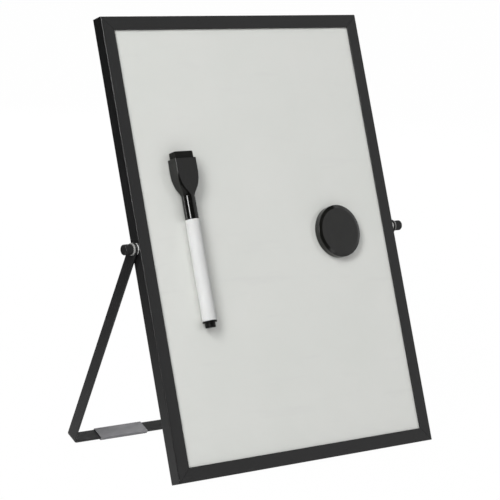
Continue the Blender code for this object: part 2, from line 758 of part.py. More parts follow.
def add_cap(marker):
    """The cap with its bore, its felt eraser and the magnet that holds the marker to the board."""
    top = CAP_NECK_LENGTH + CAP_HEAD_LENGTH
    cap = piece("marker_cap", cap_shape(), marker, CAP_BLACK)
    cut(cap, "cap_bore", cap_bore_shape())
    pocket = box_outline(FELT_WIDTH + 2 * SEAT_GAP, FELT_THICKNESS + 2 * SEAT_GAP, FELT_RADIUS)
    pocket_floor = top - FELT_IN - SEAT_GAP
    magnet_height = pocket_floor - CAP_WEB - SEAT_GAP - CAP_MAGNET_RADIUS
    cut(cap, "felt_pocket", prism(pocket, FELT_IN + SEAT_GAP + OVERRUN), (0, 0, pocket_floor))
    felt_outline = box_outline(FELT_WIDTH, FELT_THICKNESS, FELT_RADIUS)
    felt = prism(felt_outline, FELT_IN + FELT_OUT)
    felt_node = piece("eraser_felt", felt, marker, FELT_BLACK, (0, 0, top - FELT_IN))
    break_edges(felt_node, FELT_RADIUS / 2)
    back = CAP_HEAD_THICKNESS / 2
    recess = SEAT_GAP + CAP_MAGNET_THICKNESS + SEAT_GAP
    hole = prism(circle(CAP_MAGNET_RADIUS + SEAT_GAP, SMALL_STEPS), recess + OVERRUN)
    cut(cap, "magnet_pocket", hole, (0, back + OVERRUN, magnet_height), (pi / 2, 0, 0))
    disc = disc_shape(CAP_MAGNET_RADIUS, CAP_MAGNET_THICKNESS, CAP_MAGNET_EDGE, SMALL_STEPS)
    piece("cap_magnet", disc, marker, STEEL, (0, back - SEAT_GAP, magnet_height), (pi / 2, 0, 0))


def add_marker(board):
    """The marker, upright on the board's left, on axes at the mouth of its cap."""
    across_share, up_share = MARKER_PLACE_SHARES
    depth = SHEET_FACE - SEAT_GAP - CAP_HEAD_THICKNESS / 2
    place = (across_share * BOARD_WIDTH, depth, up_share * BOARD_HEIGHT)
    cap_axes = axes("marker_cap_axes", board, place)
    add_cap(cap_axes)
    pen_axes = axes("marker_pen_axes", cap_axes)
    piece("marker_barrel", barrel_shape(), pen_axes, BARREL_WHITE)
    piece("marker_tail_plug", plug_shape(), pen_axes, CAP_BLACK)
    piece("ink_reservoir", reservoir_shape(), pen_axes, FIBRE_WHITE)
    piece("writing_nib", nib_shape(), pen_axes, FELT_BLACK)


# The round magnet
def case_shape():
    """The magnet's moulded cover: a low wall, a sloping shoulder and a flat face, hollow from behind."""
    cavity = MAGNET_DISC_RADIUS + SEAT_GAP
    roof = MAGNET_THICKNESS - MAGNET_SHELL
    corners = [
        (cavity, 0, 0),
        (MAGNET_RADIUS, 0, MAGNET_BASE_EDGE),
        (MAGNET_RADIUS, MAGNET_WALL_HEIGHT, MAGNET_SHOULDER_ROUND),
        (MAGNET_FACE_RADIUS, MAGNET_THICKNESS, MAGNET_SHOULDER_ROUND),
        (0, MAGNET_THICKNESS, 0),
        (0, roof, 0),
        (cavity, roof, 0),
    ]
    return turned(rounded(corners, SMALL_CORNER_STEPS), WIDE_STEPS, closed=True)


def add_magnet(board):
    """The round magnet on the board's right, on axes at the middle of its back."""
    across_share, up_share = MAGNET_PLACE_SHARES
    place = (across_share * BOARD_WIDTH, SHEET_FACE - SEAT_GAP, up_share * BOARD_HEIGHT)
    magnet = axes("round_magnet_axes", board, place, (pi / 2, 0, 0))
    piece("magnet_case", case_shape(), magnet, CAP_BLACK)
    thickness = MAGNET_THICKNESS - MAGNET_SHELL - 2 * SEAT_GAP
    disc = disc_shape(MAGNET_DISC_RADIUS, thickness, MAGNET_DISC_EDGE, WIDE_STEPS)
    piece("magnet_disc", disc, magnet, FERRITE, (0, 0, SEAT_GAP))


def build():
    """Make the whole object, standing on the ground."""
    front, rear = depth_limits()
    ground = axes("ground_axes")
    corner = (0, -(front + rear) / 2, -ground_level())
    board = axes("board_axes", ground, corner, (-BOARD_TILT, 0, 0))
    add_rails(board)
    add_keys(board)
    add_panel(board)
    for side, sign in (("left", -1), ("right", 1)):
        add_pivot(board, side, sign)
    add_stand(board)
    add_marker(board)
    add_magnet(board)
    bpy.context.view_layer.update()


build()
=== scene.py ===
# %% [markdown]
# # A small desktop whiteboard on a swinging stand
#
# This lesson dresses a finished CAD model for its picture. The CAD model knows where every part sits and how
# it moves; here each part gets the fine shape and the finish that the eye expects up close.
# The real board is two white lacquered steel sheets in a frame of black slotted rails. A flat black bar, bent
# to a U, holds it up. A marker with a felt eraser on its cap and a round magnet cling to the front.
#
# ## Step 1: load the model
# Nothing of it is moved: a part is either given a better finish, or a finer piece takes its place on the same
# moving body. The box of the bare model is kept, because the dressed one has to stay inside it.

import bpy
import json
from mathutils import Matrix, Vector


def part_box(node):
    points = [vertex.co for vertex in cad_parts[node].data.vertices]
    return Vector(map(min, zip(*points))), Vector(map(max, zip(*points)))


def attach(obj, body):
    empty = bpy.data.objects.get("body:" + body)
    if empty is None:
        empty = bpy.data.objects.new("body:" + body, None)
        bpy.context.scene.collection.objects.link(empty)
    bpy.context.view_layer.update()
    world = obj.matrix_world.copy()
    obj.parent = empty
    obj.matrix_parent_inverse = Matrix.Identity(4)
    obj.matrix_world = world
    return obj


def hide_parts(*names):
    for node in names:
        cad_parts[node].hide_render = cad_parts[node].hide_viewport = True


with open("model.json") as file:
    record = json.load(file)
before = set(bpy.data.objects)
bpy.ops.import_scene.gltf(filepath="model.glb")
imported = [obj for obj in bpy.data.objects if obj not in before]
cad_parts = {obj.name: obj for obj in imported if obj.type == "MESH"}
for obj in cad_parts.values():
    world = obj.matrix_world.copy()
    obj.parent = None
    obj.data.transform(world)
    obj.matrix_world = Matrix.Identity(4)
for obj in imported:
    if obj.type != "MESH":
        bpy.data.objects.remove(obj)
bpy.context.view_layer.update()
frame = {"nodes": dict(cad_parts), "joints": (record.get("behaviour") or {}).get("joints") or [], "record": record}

# %% Bring in the tools of the lesson
import json
from math import cos, exp, pi, radians, sin, sqrt, tau
from random import Random

import bmesh
import bpy
from mathutils import Matrix, Vector, noise

MM = 0.001


def mm(*lengths):
    """These millimetres in metres."""
    return [length * MM for length in lengths]


print("lengths are in metres, so a millimetre is", MM)

# %% [markdown]
# ## Step 2: find the axes that the parts were built on
# The board leans back, so its parts are easier to make lying straight and to lean afterwards. The model says
# how it leans: the marker lifts straight off the sheet, and the pen pulls straight down out of its cap. Two
# such directions give the board's own axes. Measuring the parts along them gives their real places, which is
# safer than typing coordinates.

# %% Read the board's directions from its joints
joints = {joint["name"]: joint for joint in frame["joints"]}
ACROSS = Vector((1, 0, 0))
FRONT = Vector(joints["marker_lift"]["axis"]).normalized()
UP = -Vector(joints["pen_pull"]["axis"]).normalized()
BACK = -FRONT
PIVOT = Vector(joints["stand_swing"]["pos_m"])
print("the sheet faces", tuple(round(share, 3) for share in FRONT))


# %% Measure parts along a direction
def reach(direction, *nodes):
    """Lowest and highest place of CAD parts along a direction."""
    places = [vert.co.dot(direction) for node in nodes for vert in frame["nodes"][node].data.vertices]
    return min(places), max(places)


def middle(direction, *nodes):
    """The middle of CAD parts along a direction."""
    return sum(reach(direction, *nodes)) / 2


RAILS = [f"frame_{side}_rail" for side in ("bottom", "top", "left", "right")]
left_side, right_side = reach(ACROSS, *RAILS)
board_foot, board_head = reach(UP, *RAILS)
front_face, rear_face = reach(BACK, *RAILS)
BOARD_WIDTH, BOARD_HEIGHT = right_side - left_side, board_head - board_foot
RAIL_DEPTH = rear_face - front_face
print(f"board {BOARD_WIDTH / MM:.1f} x {BOARD_HEIGHT / MM:.1f} mm, {RAIL_DEPTH / MM:.1f} mm thick")


# %% Turn three directions and a place into axes
def axes(place, x_way, y_way, z_way):
    """A matrix that carries a shape from its own axes to its place on the object."""
    made = Matrix((x_way, y_way, z_way)).transposed().to_4x4()
    made.translation = place
    return made


corner = BACK * front_face + UP * board_foot
board_axes = axes(ACROSS * (left_side + right_side) / 2 + corner, ACROSS, BACK, UP)
print("the board stands on", tuple(round(share, 4) for share in board_axes.translation))

# %% [markdown]
# ## Step 3: the ways of shaping
# The real parts are made in a few ways: rails are pressed through a die, knobs and barrels are turned, the cap
# is moulded along a changing section. Each way becomes one function on a bmesh, Blender's editable mesh in
# memory. Ready-made cylinders and cubes would give no say over rounded edges, and those catch the light.

# %% Round the corners of an outline
ARC_STEPS = 8


def soften(corners, steps=ARC_STEPS):
    """Points through (x, y, radius) corners, each one turned into an arc of its radius."""
    points = []
    for index, (x, y, radius) in enumerate(corners):
        tip = Vector((x, y))
        if not radius:
            points.append(tip)
            continue
        back = (Vector(corners[index - 1][:2]) - tip).normalized()
        ahead = (Vector(corners[(index + 1) % len(corners)][:2]) - tip).normalized()
        half = back.angle(ahead) / 2
        centre = tip + (back + ahead).normalized() * (radius / sin(half))
        run = radius * cos(half) / sin(half)
        start, end = tip + back * run - centre, tip + ahead * run - centre
        sweep = start.angle(end)
        for step in range(steps + 1):
            share = step / steps
            arm = start * sin((1 - share) * sweep) + end * sin(share * sweep)
            points.append(centre + arm / sin(sweep))
    return points


def soft_box(width, height, radius, steps=ARC_STEPS):
    """A rectangle about the middle with rounded corners."""
    x, y = width / 2, height / 2
    return soften([(x, y, radius), (-x, y, radius), (-x, -y, radius), (x, -y, radius)], steps)


def circle(radius, steps, x=0.0):
    """A circle of points whose centre lies on the X axis."""
    angles = [tau * step / steps for step in range(steps)]
    return [Vector((x + radius * cos(angle), radius * sin(angle))) for angle in angles]


print("a softened square has", len(soft_box(10 * MM, 10 * MM, MM)), "points")


# %% Press, turn or loft a shape
LATHE_ARC_STEPS = 6
SAME_POINT = MM / 1000


def close_up(shape):
    """Join points that meet and turn all faces outwards."""
    bmesh.ops.remove_doubles(shape, verts=shape.verts, dist=SAME_POINT)
    bmesh.ops.recalc_face_normals(shape, faces=shape.faces)
    return shape


def press(outline, length, holes=()):
    """A straight bar with this section, from z = 0 up, with its holes right through."""
    shape = bmesh.new()
    edges = []
    for loop in (outline, *holes):
        ring = [shape.verts.new((x, y, 0)) for x, y in loop]
        edges += [shape.edges.new(pair) for pair in zip(ring, ring[1:] + ring[:1])]
    bmesh.ops.triangle_fill(shape, edges=edges, use_beauty=True, use_dissolve=False)
    made = bmesh.ops.extrude_face_region(shape, geom=shape.faces[:])["geom"]
    top = [item for item in made if isinstance(item, bmesh.types.BMVert)]
    bmesh.ops.translate(shape, verts=top, vec=(0, 0, length))
    return close_up(shape)


def turn(corners, steps, ring=False):
    """A round solid from (radius, height, rounding) corners, spun about Z like wood on a lathe."""
    shape = bmesh.new()
    points = [shape.verts.new((radius, 0, height)) for radius, height in soften(corners, LATHE_ARC_STEPS)]
    pairs = list(zip(points, points[1:])) + ([(points[-1], points[0])] if ring else [])
    lines = [shape.edges.new(pair) for pair in pairs]
    bmesh.ops.spin(
        shape, geom=points + lines, cent=(0, 0, 0), axis=(0, 0, 1), angle=tau, steps=steps, use_merge=True
    )
    return close_up(shape)


def loft(rings):
    """A skin over rings of equally many points, closed flat at both ends."""
    shape = bmesh.new()
    loops = [[shape.verts.new(point) for point in ring] for ring in rings]
    for lower, upper in zip(loops, loops[1:]):
        for index in range(len(lower)):
            shape.faces.new((lower[index - 1], lower[index], upper[index], upper[index - 1]))
    shape.faces.new(loops[0])
    shape.faces.new(loops[-1])
    return close_up(shape)


print("three ways of shaping: press, turn, loft")

# %% [markdown]
# ## Step 4: from shape to piece
# A shape becomes a piece when it has a name, a place, a finish and a body to ride on. Its texture follows its
# own axes, so it is laid straight and leaned by its matrix. Holes are cut with a Boolean, which is then made
# part of the mesh. Weighted normals keep the large flats flat right up to their small rounded edges.

# %% Put a shape in place, cut it and settle it
SHARP = radians(32)


def add_object(name, data):
    """A new object in the scene."""
    made = bpy.data.objects.new(name, data)
    bpy.context.scene.collection.objects.link(made)
    return made


def lay(name, shape, place):
    """An object with this shape, on these axes."""
    mesh = bpy.data.meshes.new(name)
    shape.to_mesh(mesh)
    shape.free()
    made = add_object(name, mesh)
    made.matrix_world = place
    bpy.context.view_layer.update()
    return made


def settle(piece):
    """Make the work of a piece's modifiers part of its mesh."""
    seen = piece.evaluated_get(bpy.context.evaluated_depsgraph_get())
    mesh = bpy.data.meshes.new_from_object(seen)
    piece.modifiers.clear()
    old, piece.data = piece.data, mesh
    mesh.name = piece.name
    bpy.data.meshes.remove(old)


def carve(piece, shape, place):
    """Cut a shape out of a piece; the place is in the piece's own axes."""
    cutter = lay("cutter", shape, piece.matrix_world @ place)
    modifier = piece.modifiers.new("carve", "BOOLEAN")
    modifier.operation, modifier.object = "DIFFERENCE", cutter
    settle(piece)
    bpy.data.objects.remove(cutter, do_unlink=True)


def break_edges(piece, width, segments=2, angle=SHARP):
    """Round the sharp edges of a piece by this width."""
    modifier = piece.modifiers.new("broken_edges", "BEVEL")
    modifier.width, modifier.segments = width, segments
    modifier.limit_method, modifier.angle_limit = "ANGLE", angle
    settle(piece)


print("edges steeper than", round(SHARP / pi * 180), "degrees stay crisp")

# %% Dress a CAD part with a piece
bodies = frame["record"]["behaviour"]["bodies"]
carried_by = {node: body for body, nodes in bodies.items() for node in nodes}


def dress(piece, node, finish):
    """Let a piece stand for a CAD part, on the same body, and print how well it fits."""
    piece.data.materials.clear()
    piece.data.materials.append(finish)
    piece.data.shade_smooth()
    piece.data.set_sharp_from_angle(angle=SHARP)
    flats = piece.modifiers.new("flat_faces", "WEIGHTED_NORMAL")
    flats.keep_sharp = True
    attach(piece, carried_by[node])
    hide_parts(node)
    spots = [piece.matrix_world @ vert.co for vert in piece.data.vertices]
    low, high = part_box(node)
    ends = [(min(spot[way] for spot in spots), max(spot[way] for spot in spots)) for way in range(3)]
    off = max(max(abs(end[0] - low[way]), abs(end[1] - high[way])) for way, end in enumerate(ends))
    print(f"{piece.name}: {len(piece.data.polygons)} faces, {off / MM:.2f} mm from its part's box")


# %% [markdown]
# ## Step 5: the ways of finishing
# No real surface has one even colour. Paint varies in gloss, plastic has a fine grain from its mould, metal
# keeps the lines of its rolling. Noise patterns draw all of that, read in the piece's own axes, so the grain
# has its real size on every piece. Image textures could do it too, but they need unwrapping and files. One
# function makes every finish: one pattern swings the colour between two tones, one swings the gloss, and one
# raises a bump of 0.004 to 0.12 mm. Rubbed or wiped surfaces get a third tone, laid over the others where a
# pattern is strongest. Plain finishes need one pattern for everything.

# %% Draw a pattern and let values follow it
def feed(tree, node, inputs):
    """Give a node its inputs; each one is a value or the output of another node."""
    for socket, value in inputs.items():
        if isinstance(value, bpy.types.NodeSocket):
            tree.links.new(value, node.inputs[socket])
        else:
            node.inputs[socket].default_value = value
    return node


def pattern(tree, size, detail, stretch=(1, 1, 1)):
    """A noise pattern whose patches are about this size in millimetres, stretched along the axes."""
    spot = tree.nodes.new("ShaderNodeTexCoord").outputs["Object"]
    scale = [1 / (size * MM * factor) for factor in stretch]
    scaled = feed(tree, tree.nodes.new("ShaderNodeMapping"), {"Vector": spot, "Scale": scale})
    inputs = {"Vector": scaled.outputs["Vector"], "Scale": 1, "Detail": detail}
    return feed(tree, tree.nodes.new("ShaderNodeTexNoise"), inputs).outputs["Fac"]


def swing(tree, grain, low, high, start=0.3, stop=0.7):
    """A number that swings between two values with a pattern."""
    inputs = {"Value": grain, "From Min": start, "From Max": stop, "To Min": low, "To Max": high}
    return feed(tree, tree.nodes.new("ShaderNodeMapRange"), inputs).outputs["Result"]


def blend_tones(tree, amount, one, other):
    """A colour between two others."""
    mixed = tree.nodes.new("ShaderNodeMix")
    mixed.data_type = "RGBA"
    return feed(tree, mixed, {0: amount, 6: one, 7: other}).outputs[2]


print("patterns drive tones, glosses and bumps")


# %% Make a finish
def make_finish(name, patterns, tone, gloss, bump, marks=None, **constants):
    """A material whose look follows named patterns, each one given as (size, detail, stretch).

    tone is (pattern, one tone, other tone), gloss (pattern, low, high), bump (pattern, height) and marks, a
    third tone, (pattern, start, stop, tone), with sizes and heights in millimetres. The rest are constant
    values of the shader.
    """
    made = bpy.data.materials.new(name)
    made.use_nodes = True
    tree = made.node_tree
    grains = {key: pattern(tree, *values) for key, values in patterns.items()}
    key, one, other = tone
    colour = blend_tones(tree, swing(tree, grains[key], 0, 1), (*one, 1), (*other, 1))
    if marks:
        key, start, stop, third = marks
        colour = blend_tones(tree, swing(tree, grains[key], 0, 1, start, stop), colour, (*third, 1))
    key, low, high = gloss
    roughness = swing(tree, grains[key], low, high)
    key, height = bump
    relief = feed(tree, tree.nodes.new("ShaderNodeBump"), {"Distance": height * MM, "Height": grains[key]})
    inputs = {socket.replace("_", " "): value for socket, value in constants.items()}
    inputs |= {"Base Color": colour, "Roughness": roughness, "Normal": relief.outputs["Normal"]}
    feed(tree, tree.nodes["Principled BSDF"], inputs)
    print(f"{name}: {len(grains)} patterns")
    return made


def even_finish(name, grain, dull, bright, gloss, bump, **constants):
    """A finish whose tone, gloss and bump all follow one pattern."""
    return make_finish(
        name, {"grain": grain}, ("grain", dull, bright), ("grain", *gloss), ("grain", bump), **constants
    )


print("a finish is patterns, tones, a gloss and a bump")

# %% [markdown]
# ## Step 6: the black rails
# The frame is a pressed aluminium section with a slot for the panel and a closed chamber behind it, mitred at
# the corners and powder coated in a satin black. Its outer edges are rounded by 0.8 mm, its lips by 0.3 mm.
# The section is drawn once, pressed to length, and its ends are slid inwards to cut the mitres. The edges of
# the mitres are then broken by 0.14 mm, which leaves a fine groove where two rails meet.

# %% The satin black of the rails
rail_black = make_finish(
    "rail_black_powder_coat",
    {"cells": (0.45, 2.0), "drift": (30, 4.0, (4, 1, 1)), "rub": (2.5, 6.0, (9, 1, 1))},
    tone=("drift", (0.0050, 0.0050, 0.0052), (0.0072, 0.0072, 0.0074)), gloss=("rub", 0.27, 0.37),
    bump=("cells", 0.006), marks=("rub", 0.62, 0.74, (0.014, 0.014, 0.0145)),
)

# %% Draw the rail's section and mitre its ends
RAIL_FACE, RAIL_WALL, CHAMBER = mm(10.8, 1.2, 3.8)
RAIL_ROUND, LIP_ROUND, MITRE_GAP = mm(0.8, 0.3, 0.2)
SLOT_FLOOR = RAIL_WALL + CHAMBER + RAIL_WALL


def rail(length):
    """A slotted rail along X with its outer side at z = 0, mitred at both ends."""
    far = RAIL_DEPTH
    section = soften(
        [
            (0, 0, RAIL_ROUND), (RAIL_FACE, 0, LIP_ROUND), (RAIL_FACE, RAIL_WALL, LIP_ROUND),
            (SLOT_FLOOR, RAIL_WALL, 0), (SLOT_FLOOR, far - RAIL_WALL, 0),
            (RAIL_FACE, far - RAIL_WALL, LIP_ROUND), (RAIL_FACE, far, LIP_ROUND), (0, far, RAIL_ROUND),
        ]
    )
    near, beyond = RAIL_WALL, RAIL_WALL + CHAMBER
    chamber = ((near, near), (beyond, near), (beyond, far - near), (near, far - near))
    shape = press(section, length, [chamber])
    for vert in shape.verts:
        inward, depth, along = vert.co
        end = length / 2 - inward - MITRE_GAP / sqrt(2)
        vert.co = (end if along else -end, depth, inward)
    return close_up(shape)


trial = rail(BOARD_WIDTH)
print("the short rails have", len(trial.faces), "faces")
trial.free()

# %% Lay the four rails round the panel
STUD_BORE, RAIL_EDGE, OVERSHOOT = mm(2.1, 0.14, 2)
BORE_STEPS = 48
rail_places = {
    "bottom": (BOARD_WIDTH, (0, 0, 0), 0),
    "top": (BOARD_WIDTH, (0, 0, BOARD_HEIGHT), pi),
    "left": (BOARD_HEIGHT, (-BOARD_WIDTH / 2, 0, BOARD_HEIGHT / 2), pi / 2),
    "right": (BOARD_HEIGHT, (BOARD_WIDTH / 2, 0, BOARD_HEIGHT / 2), -pi / 2),
}
for side, (length, place, quarter) in rail_places.items():
    rail_axes = board_axes @ Matrix.Translation(place) @ Matrix.Rotation(quarter, 4, "Y")
    rail_piece = lay(f"{side}_rail_mitred", rail(length), rail_axes)
    break_edges(rail_piece, RAIL_EDGE)
    if side in ("left", "right"):
        drill = press(circle(STUD_BORE, BORE_STEPS), OVERSHOOT + RAIL_WALL + CHAMBER / 2)
        carve(rail_piece, drill, Matrix.Translation((0, RAIL_DEPTH / 2, -OVERSHOOT)))
    dress(rail_piece, f"frame_{side}_rail", rail_black)

# %% [markdown]
# ## Step 7: the panel in the rails
# The two writing sheets are thin steel with a white lacquer that is baked hard, so that ink wipes off. The
# lacquer is glossy but not a mirror: it has a slight waviness and a film of old wiping that softens
# reflections in streaks. The sheets, the board between them and the keys in the corners already have the
# right shape in the CAD model, so they only get finishes. A noise stretched sideways makes the wiping marks.

# %% The white lacquer, with wiping marks
sheet_white = make_finish(
    "sheet_white_lacquer",
    {"drift": (60, 3.0), "peel": (3.5, 1.0), "wiping": (9, 5.0, (6, 1, 1))},
    tone=("drift", (0.625, 0.638, 0.608), (0.648, 0.655, 0.628)), gloss=("wiping", 0.16, 0.26),
    bump=("peel", 0.004), marks=("wiping", 0.6, 0.8, (0.615, 0.622, 0.60)),
    Coat_Weight=1.0, Coat_Roughness=0.05, Coat_IOR=1.6,
)

# %% The parts inside the frame
core_brown = even_finish(
    "core_pressed_fibre", (1.2, 5.0, (2, 1, 1)), (0.22, 0.14, 0.075), (0.42, 0.3, 0.18),
    gloss=(0.75, 0.95), bump=0.08,
)
key_grey = even_finish(
    "key_moulded_nylon", (0.6, 3.0), (0.095, 0.095, 0.098), (0.14, 0.14, 0.142), gloss=(0.5, 0.7), bump=0.02
)
steel = make_finish(
    "bright_zinc_steel", {"turning": (0.25, 2.0, (20, 20, 1)), "zinc": (3, 4.0)},
    tone=("zinc", (0.46, 0.46, 0.47), (0.60, 0.60, 0.60)), gloss=("turning", 0.25, 0.42),
    bump=("turning", 0.01), Metallic=1.0,
)


# %% Give the parts that stay their finishes
def keep(finish, *nodes):
    """A CAD part whose shape is right keeps it and gets a finish."""
    for node in nodes:
        mesh = frame["nodes"][node].data
        mesh.materials.clear()
        mesh.materials.append(finish)
        print(f"{node}: finished with {finish.name}")


corners = ("bottom_left", "bottom_right", "top_right", "top_left")
keep(sheet_white, "front_writing_sheet", "rear_writing_sheet")
keep(core_brown, "panel_core")
keep(key_grey, *[f"corner_key_{corner}" for corner in corners])
keep(steel, "pivot_nut_left", "pivot_nut_right", "knob_stud_left", "knob_stud_right")

# %% [markdown]
# ## Step 8: washers and thumb knobs
# On each side a screw runs through the arm into the frame. A white nylon washer keeps the arm off the paint,
# another lies under the knob, and the small black knob with its straight knurling turns the screw. The washer
# under the knob is the same white nylon, given a darker grey tone that is painted shade. The washers are turned
# on a lathe profile with softened rims. A knob is lofted from rings: each ring is a circle whose radius dips
# between the teeth, and the dips fade out at the collar and at the rounded end.

# %% Finishes of the washers and knobs
milky = {"grain": (1.5, 3.0), "gloss": (0.38, 0.5), "bump": 0.01, "Specular_IOR_Level": 0.4}
washer_white = even_finish("washer_white_nylon", dull=(0.66, 0.66, 0.645), bright=(0.76, 0.76, 0.745), **milky)
# The outer washer is the same white nylon as the inner one; its grey tone is painted shade.
washer_shaded_grey = even_finish("washer_white_nylon_painted_shade", dull=(0.25, 0.25, 0.245), bright=(0.32, 0.32, 0.31), **milky)
knob_black = make_finish(
    "knob_black_plastic", {"mould": (0.5, 3.0), "handled": (2, 4.0)},
    tone=("handled", (0.005, 0.005, 0.0052), (0.009, 0.009, 0.009)), gloss=("handled", 0.3, 0.48),
    bump=("mould", 0.015),
)

# %% Shape a washer and a knurled knob
WASHER_RADIUS, INNER_WASHER, OUTER_WASHER, GAP = mm(4.7, 1.2, 1.2, 0.15)
BAR_WIDTH, BAR_THICKNESS = mm(10.6, 1.5)
KNOB_RADIUS, KNOB_LENGTH, KNOB_COLLAR, KNOB_ROUND = mm(4.1, 7.0, 0.7, 0.9)
KNURL, STUD_DEPTH, STUD_ROOM, COLLAR_EDGE = mm(0.2, 5.0, 0.05, 0.1)
DISH_RIM, DISH_DEPTH, DISH_SLOPE = mm(1.5, 0.15, 0.3)
TEETH, STEPS_PER_TOOTH, KNOB_ROUND_STEPS, ROUND_STEPS = 28, 8, 6, 96
arm_inside = INNER_WASHER + 2 * GAP
outer_washer_face = arm_inside + BAR_THICKNESS + GAP
knob_face = outer_washer_face + OUTER_WASHER + GAP


def washer(thickness):
    """A washer whose rims are rounded, from z = 0 to its thickness."""
    rim, inner_rim = mm(0.22, 0.1)
    corners = [(STUD_BORE, 0, inner_rim), (WASHER_RADIUS, 0, rim)]
    corners += [(WASHER_RADIUS, thickness, rim), (STUD_BORE, thickness, inner_rim)]
    return turn(corners, ROUND_STEPS, ring=True)


def knurled_ring(radius, height, depth):
    """One ring of the knob, with a smooth dip between each two teeth."""
    points, count = [], STEPS_PER_TOOTH * TEETH
    for step in range(count):
        angle = tau * step / count
        dip = (1 - cos(TEETH * angle)) / 2
        dip = dip * dip * (3 - 2 * dip)
        points.append(((radius - depth * dip) * cos(angle), (radius - depth * dip) * sin(angle), height))
    return points


def knob():
    """The thumb knob, with a blind hole for its screw and a shallow dish in its end."""
    low, high, body = knob_face, knob_face + KNOB_LENGTH, KNOB_RADIUS - KNURL
    hole, run, dish = STUD_BORE + STUD_ROOM, KNOB_ROUND, KNOB_RADIUS - DISH_RIM
    rings = [(hole, low + STUD_DEPTH, 0), (hole, low, 0), (body - COLLAR_EDGE, low, 0)]
    rings += [(body, low + COLLAR_EDGE, 0), (body, low + KNOB_COLLAR, 0)]
    rings.append((KNOB_RADIUS, low + KNOB_COLLAR + KNURL, KNURL))
    for step in range(KNOB_ROUND_STEPS + 1):
        angle = pi / 2 * step / KNOB_ROUND_STEPS
        radius = KNOB_RADIUS - run * (1 - cos(angle))
        rings.append((radius, high - run * (1 - sin(angle)), KNURL * cos(angle) ** 2))
    rings += [(dish, high, 0), (dish - DISH_SLOPE, high - DISH_DEPTH, 0)]
    return loft([knurled_ring(*ring) for ring in rings])


print(f"the knob starts {knob_face / MM:.2f} mm outside the rail")

# %% Set both pivots
washers = {"inner": (GAP, INNER_WASHER, washer_white), "outer": (outer_washer_face, OUTER_WASHER, washer_shaded_grey)}
for side, way in (("left", -1), ("right", 1)):
    screw_axes = axes(PIVOT + ACROSS * (way * BOARD_WIDTH / 2), UP * -way, -FRONT, ACROSS * way)
    for where, (start, thickness, nylon) in washers.items():
        node = f"{where}_washer_{side}"
        seat = screw_axes @ Matrix.Translation((0, 0, start))
        dress(lay(f"{node}_turned", washer(thickness), seat), node, nylon)
    dress(lay(f"thumb_knob_{side}_knurled", knob(), screw_axes), f"thumb_knob_{side}", knob_black)

# %% [markdown]
# ## Step 9: the bar of the stand
# The stand is one flat steel bar, 10.6 by 1.5 mm, punched and rounded at both ends, bent twice to a U and
# powder coated black. It is made as in a workshop: first the flat blank with its holes, with cuts across
# where it bends, then every point is wrapped round the bend. Drawing the U directly would be quicker, but its
# round ends and holes would be harder to get right.

# %% The bar's black coat
bar_black = make_finish(
    "bar_black_powder_coat",
    {"peel": (0.6, 2.0), "drift": (18, 4.0), "scuffs": (1.6, 7.0, (1, 1, 8))},
    tone=("drift", (0.0055, 0.0055, 0.0057), (0.0082, 0.0082, 0.0084)), gloss=("scuffs", 0.27, 0.38),
    bump=("peel", 0.01), marks=("scuffs", 0.64, 0.76, (0.017, 0.017, 0.0175)),
)

# %% Find the stand's own axes
foot = (sum(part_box("grip_sleeve_left"), Vector()) + sum(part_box("grip_sleeve_right"), Vector())) / 4
foot.x = PIVOT.x
stand_up = (PIVOT - foot).normalized()
stand_axes = axes(PIVOT, ACROSS, stand_up.cross(ACROSS), stand_up)
STAND_REACH = (PIVOT - foot).length + BAR_THICKNESS / 2
print(f"the bar reaches {STAND_REACH / MM:.2f} mm below the pivots")

# %% Bend the blank
BEND_RADIUS, BEND_CUTS, END_STEPS = 2 * MM, 16, 40
BAR_EDGE, BAR_SHARP = 0.25 * MM, radians(50)
bend_line = BEND_RADIUS + BAR_THICKNESS / 2
arm_place = BOARD_WIDTH / 2 + arm_inside + BAR_THICKNESS / 2
flat_run, bend_run = arm_place - bend_line, bend_line * pi / 2
arm_run = STAND_REACH - BAR_THICKNESS / 2 - bend_line


def wrap(along, side, rise):
    """Where a point of the flat blank lands when the blank is bent."""
    way, distance = (1 if along > 0 else -1), abs(along)
    floor = BAR_THICKNESS / 2 - STAND_REACH
    if distance <= flat_run:
        return along, side, floor + rise
    if distance <= flat_run + bend_run:
        angle = (distance - flat_run) / bend_line
        reached = bend_line - rise
        return way * (flat_run + reached * sin(angle)), side, floor + bend_line - reached * cos(angle)
    return way * (arm_place - rise), side, floor + bend_line + distance - flat_run - bend_run


def stand_bar():
    """The bent bar with its round, punched ends."""
    half, radius = flat_run + bend_run + arm_run, BAR_WIDTH / 2
    turns = [pi * step / END_STEPS - pi / 2 for step in range(END_STEPS + 1)]
    end = [(half + radius * cos(angle), radius * sin(angle)) for angle in turns]
    outline = end + [(-x, -y) for x, y in end]
    shape = press(outline, BAR_THICKNESS, [circle(STUD_BORE, BORE_STEPS, x) for x in (-half, half)])
    for cut in range(BEND_CUTS + 1):
        for way in (-1, 1):
            everything = shape.verts[:] + shape.edges[:] + shape.faces[:]
            place = way * (flat_run + bend_run * cut / BEND_CUTS)
            bmesh.ops.bisect_plane(shape, geom=everything, plane_co=(place, 0, 0), plane_no=(1, 0, 0))
    for vert in shape.verts:
        along, side, rise = vert.co
        vert.co = wrap(along, side, rise - BAR_THICKNESS / 2)
    return close_up(shape)


bar_piece = lay("stand_bar_bent", stand_bar(), stand_axes)
break_edges(bar_piece, BAR_EDGE, 3, BAR_SHARP)
dress(bar_piece, "stand_bar", bar_black)

# %% [markdown]
# ## Step 10: the grip sleeves
# Two soft grey sleeves are slipped over the bottom of the bar so that it doesn't slide on a desk. They are
# cut from a soft tube, so their edges are round and their surface is dull, with a fine grain. A pressed tube
# with a rounded section does it; the bump keeps it from looking like a painted block.

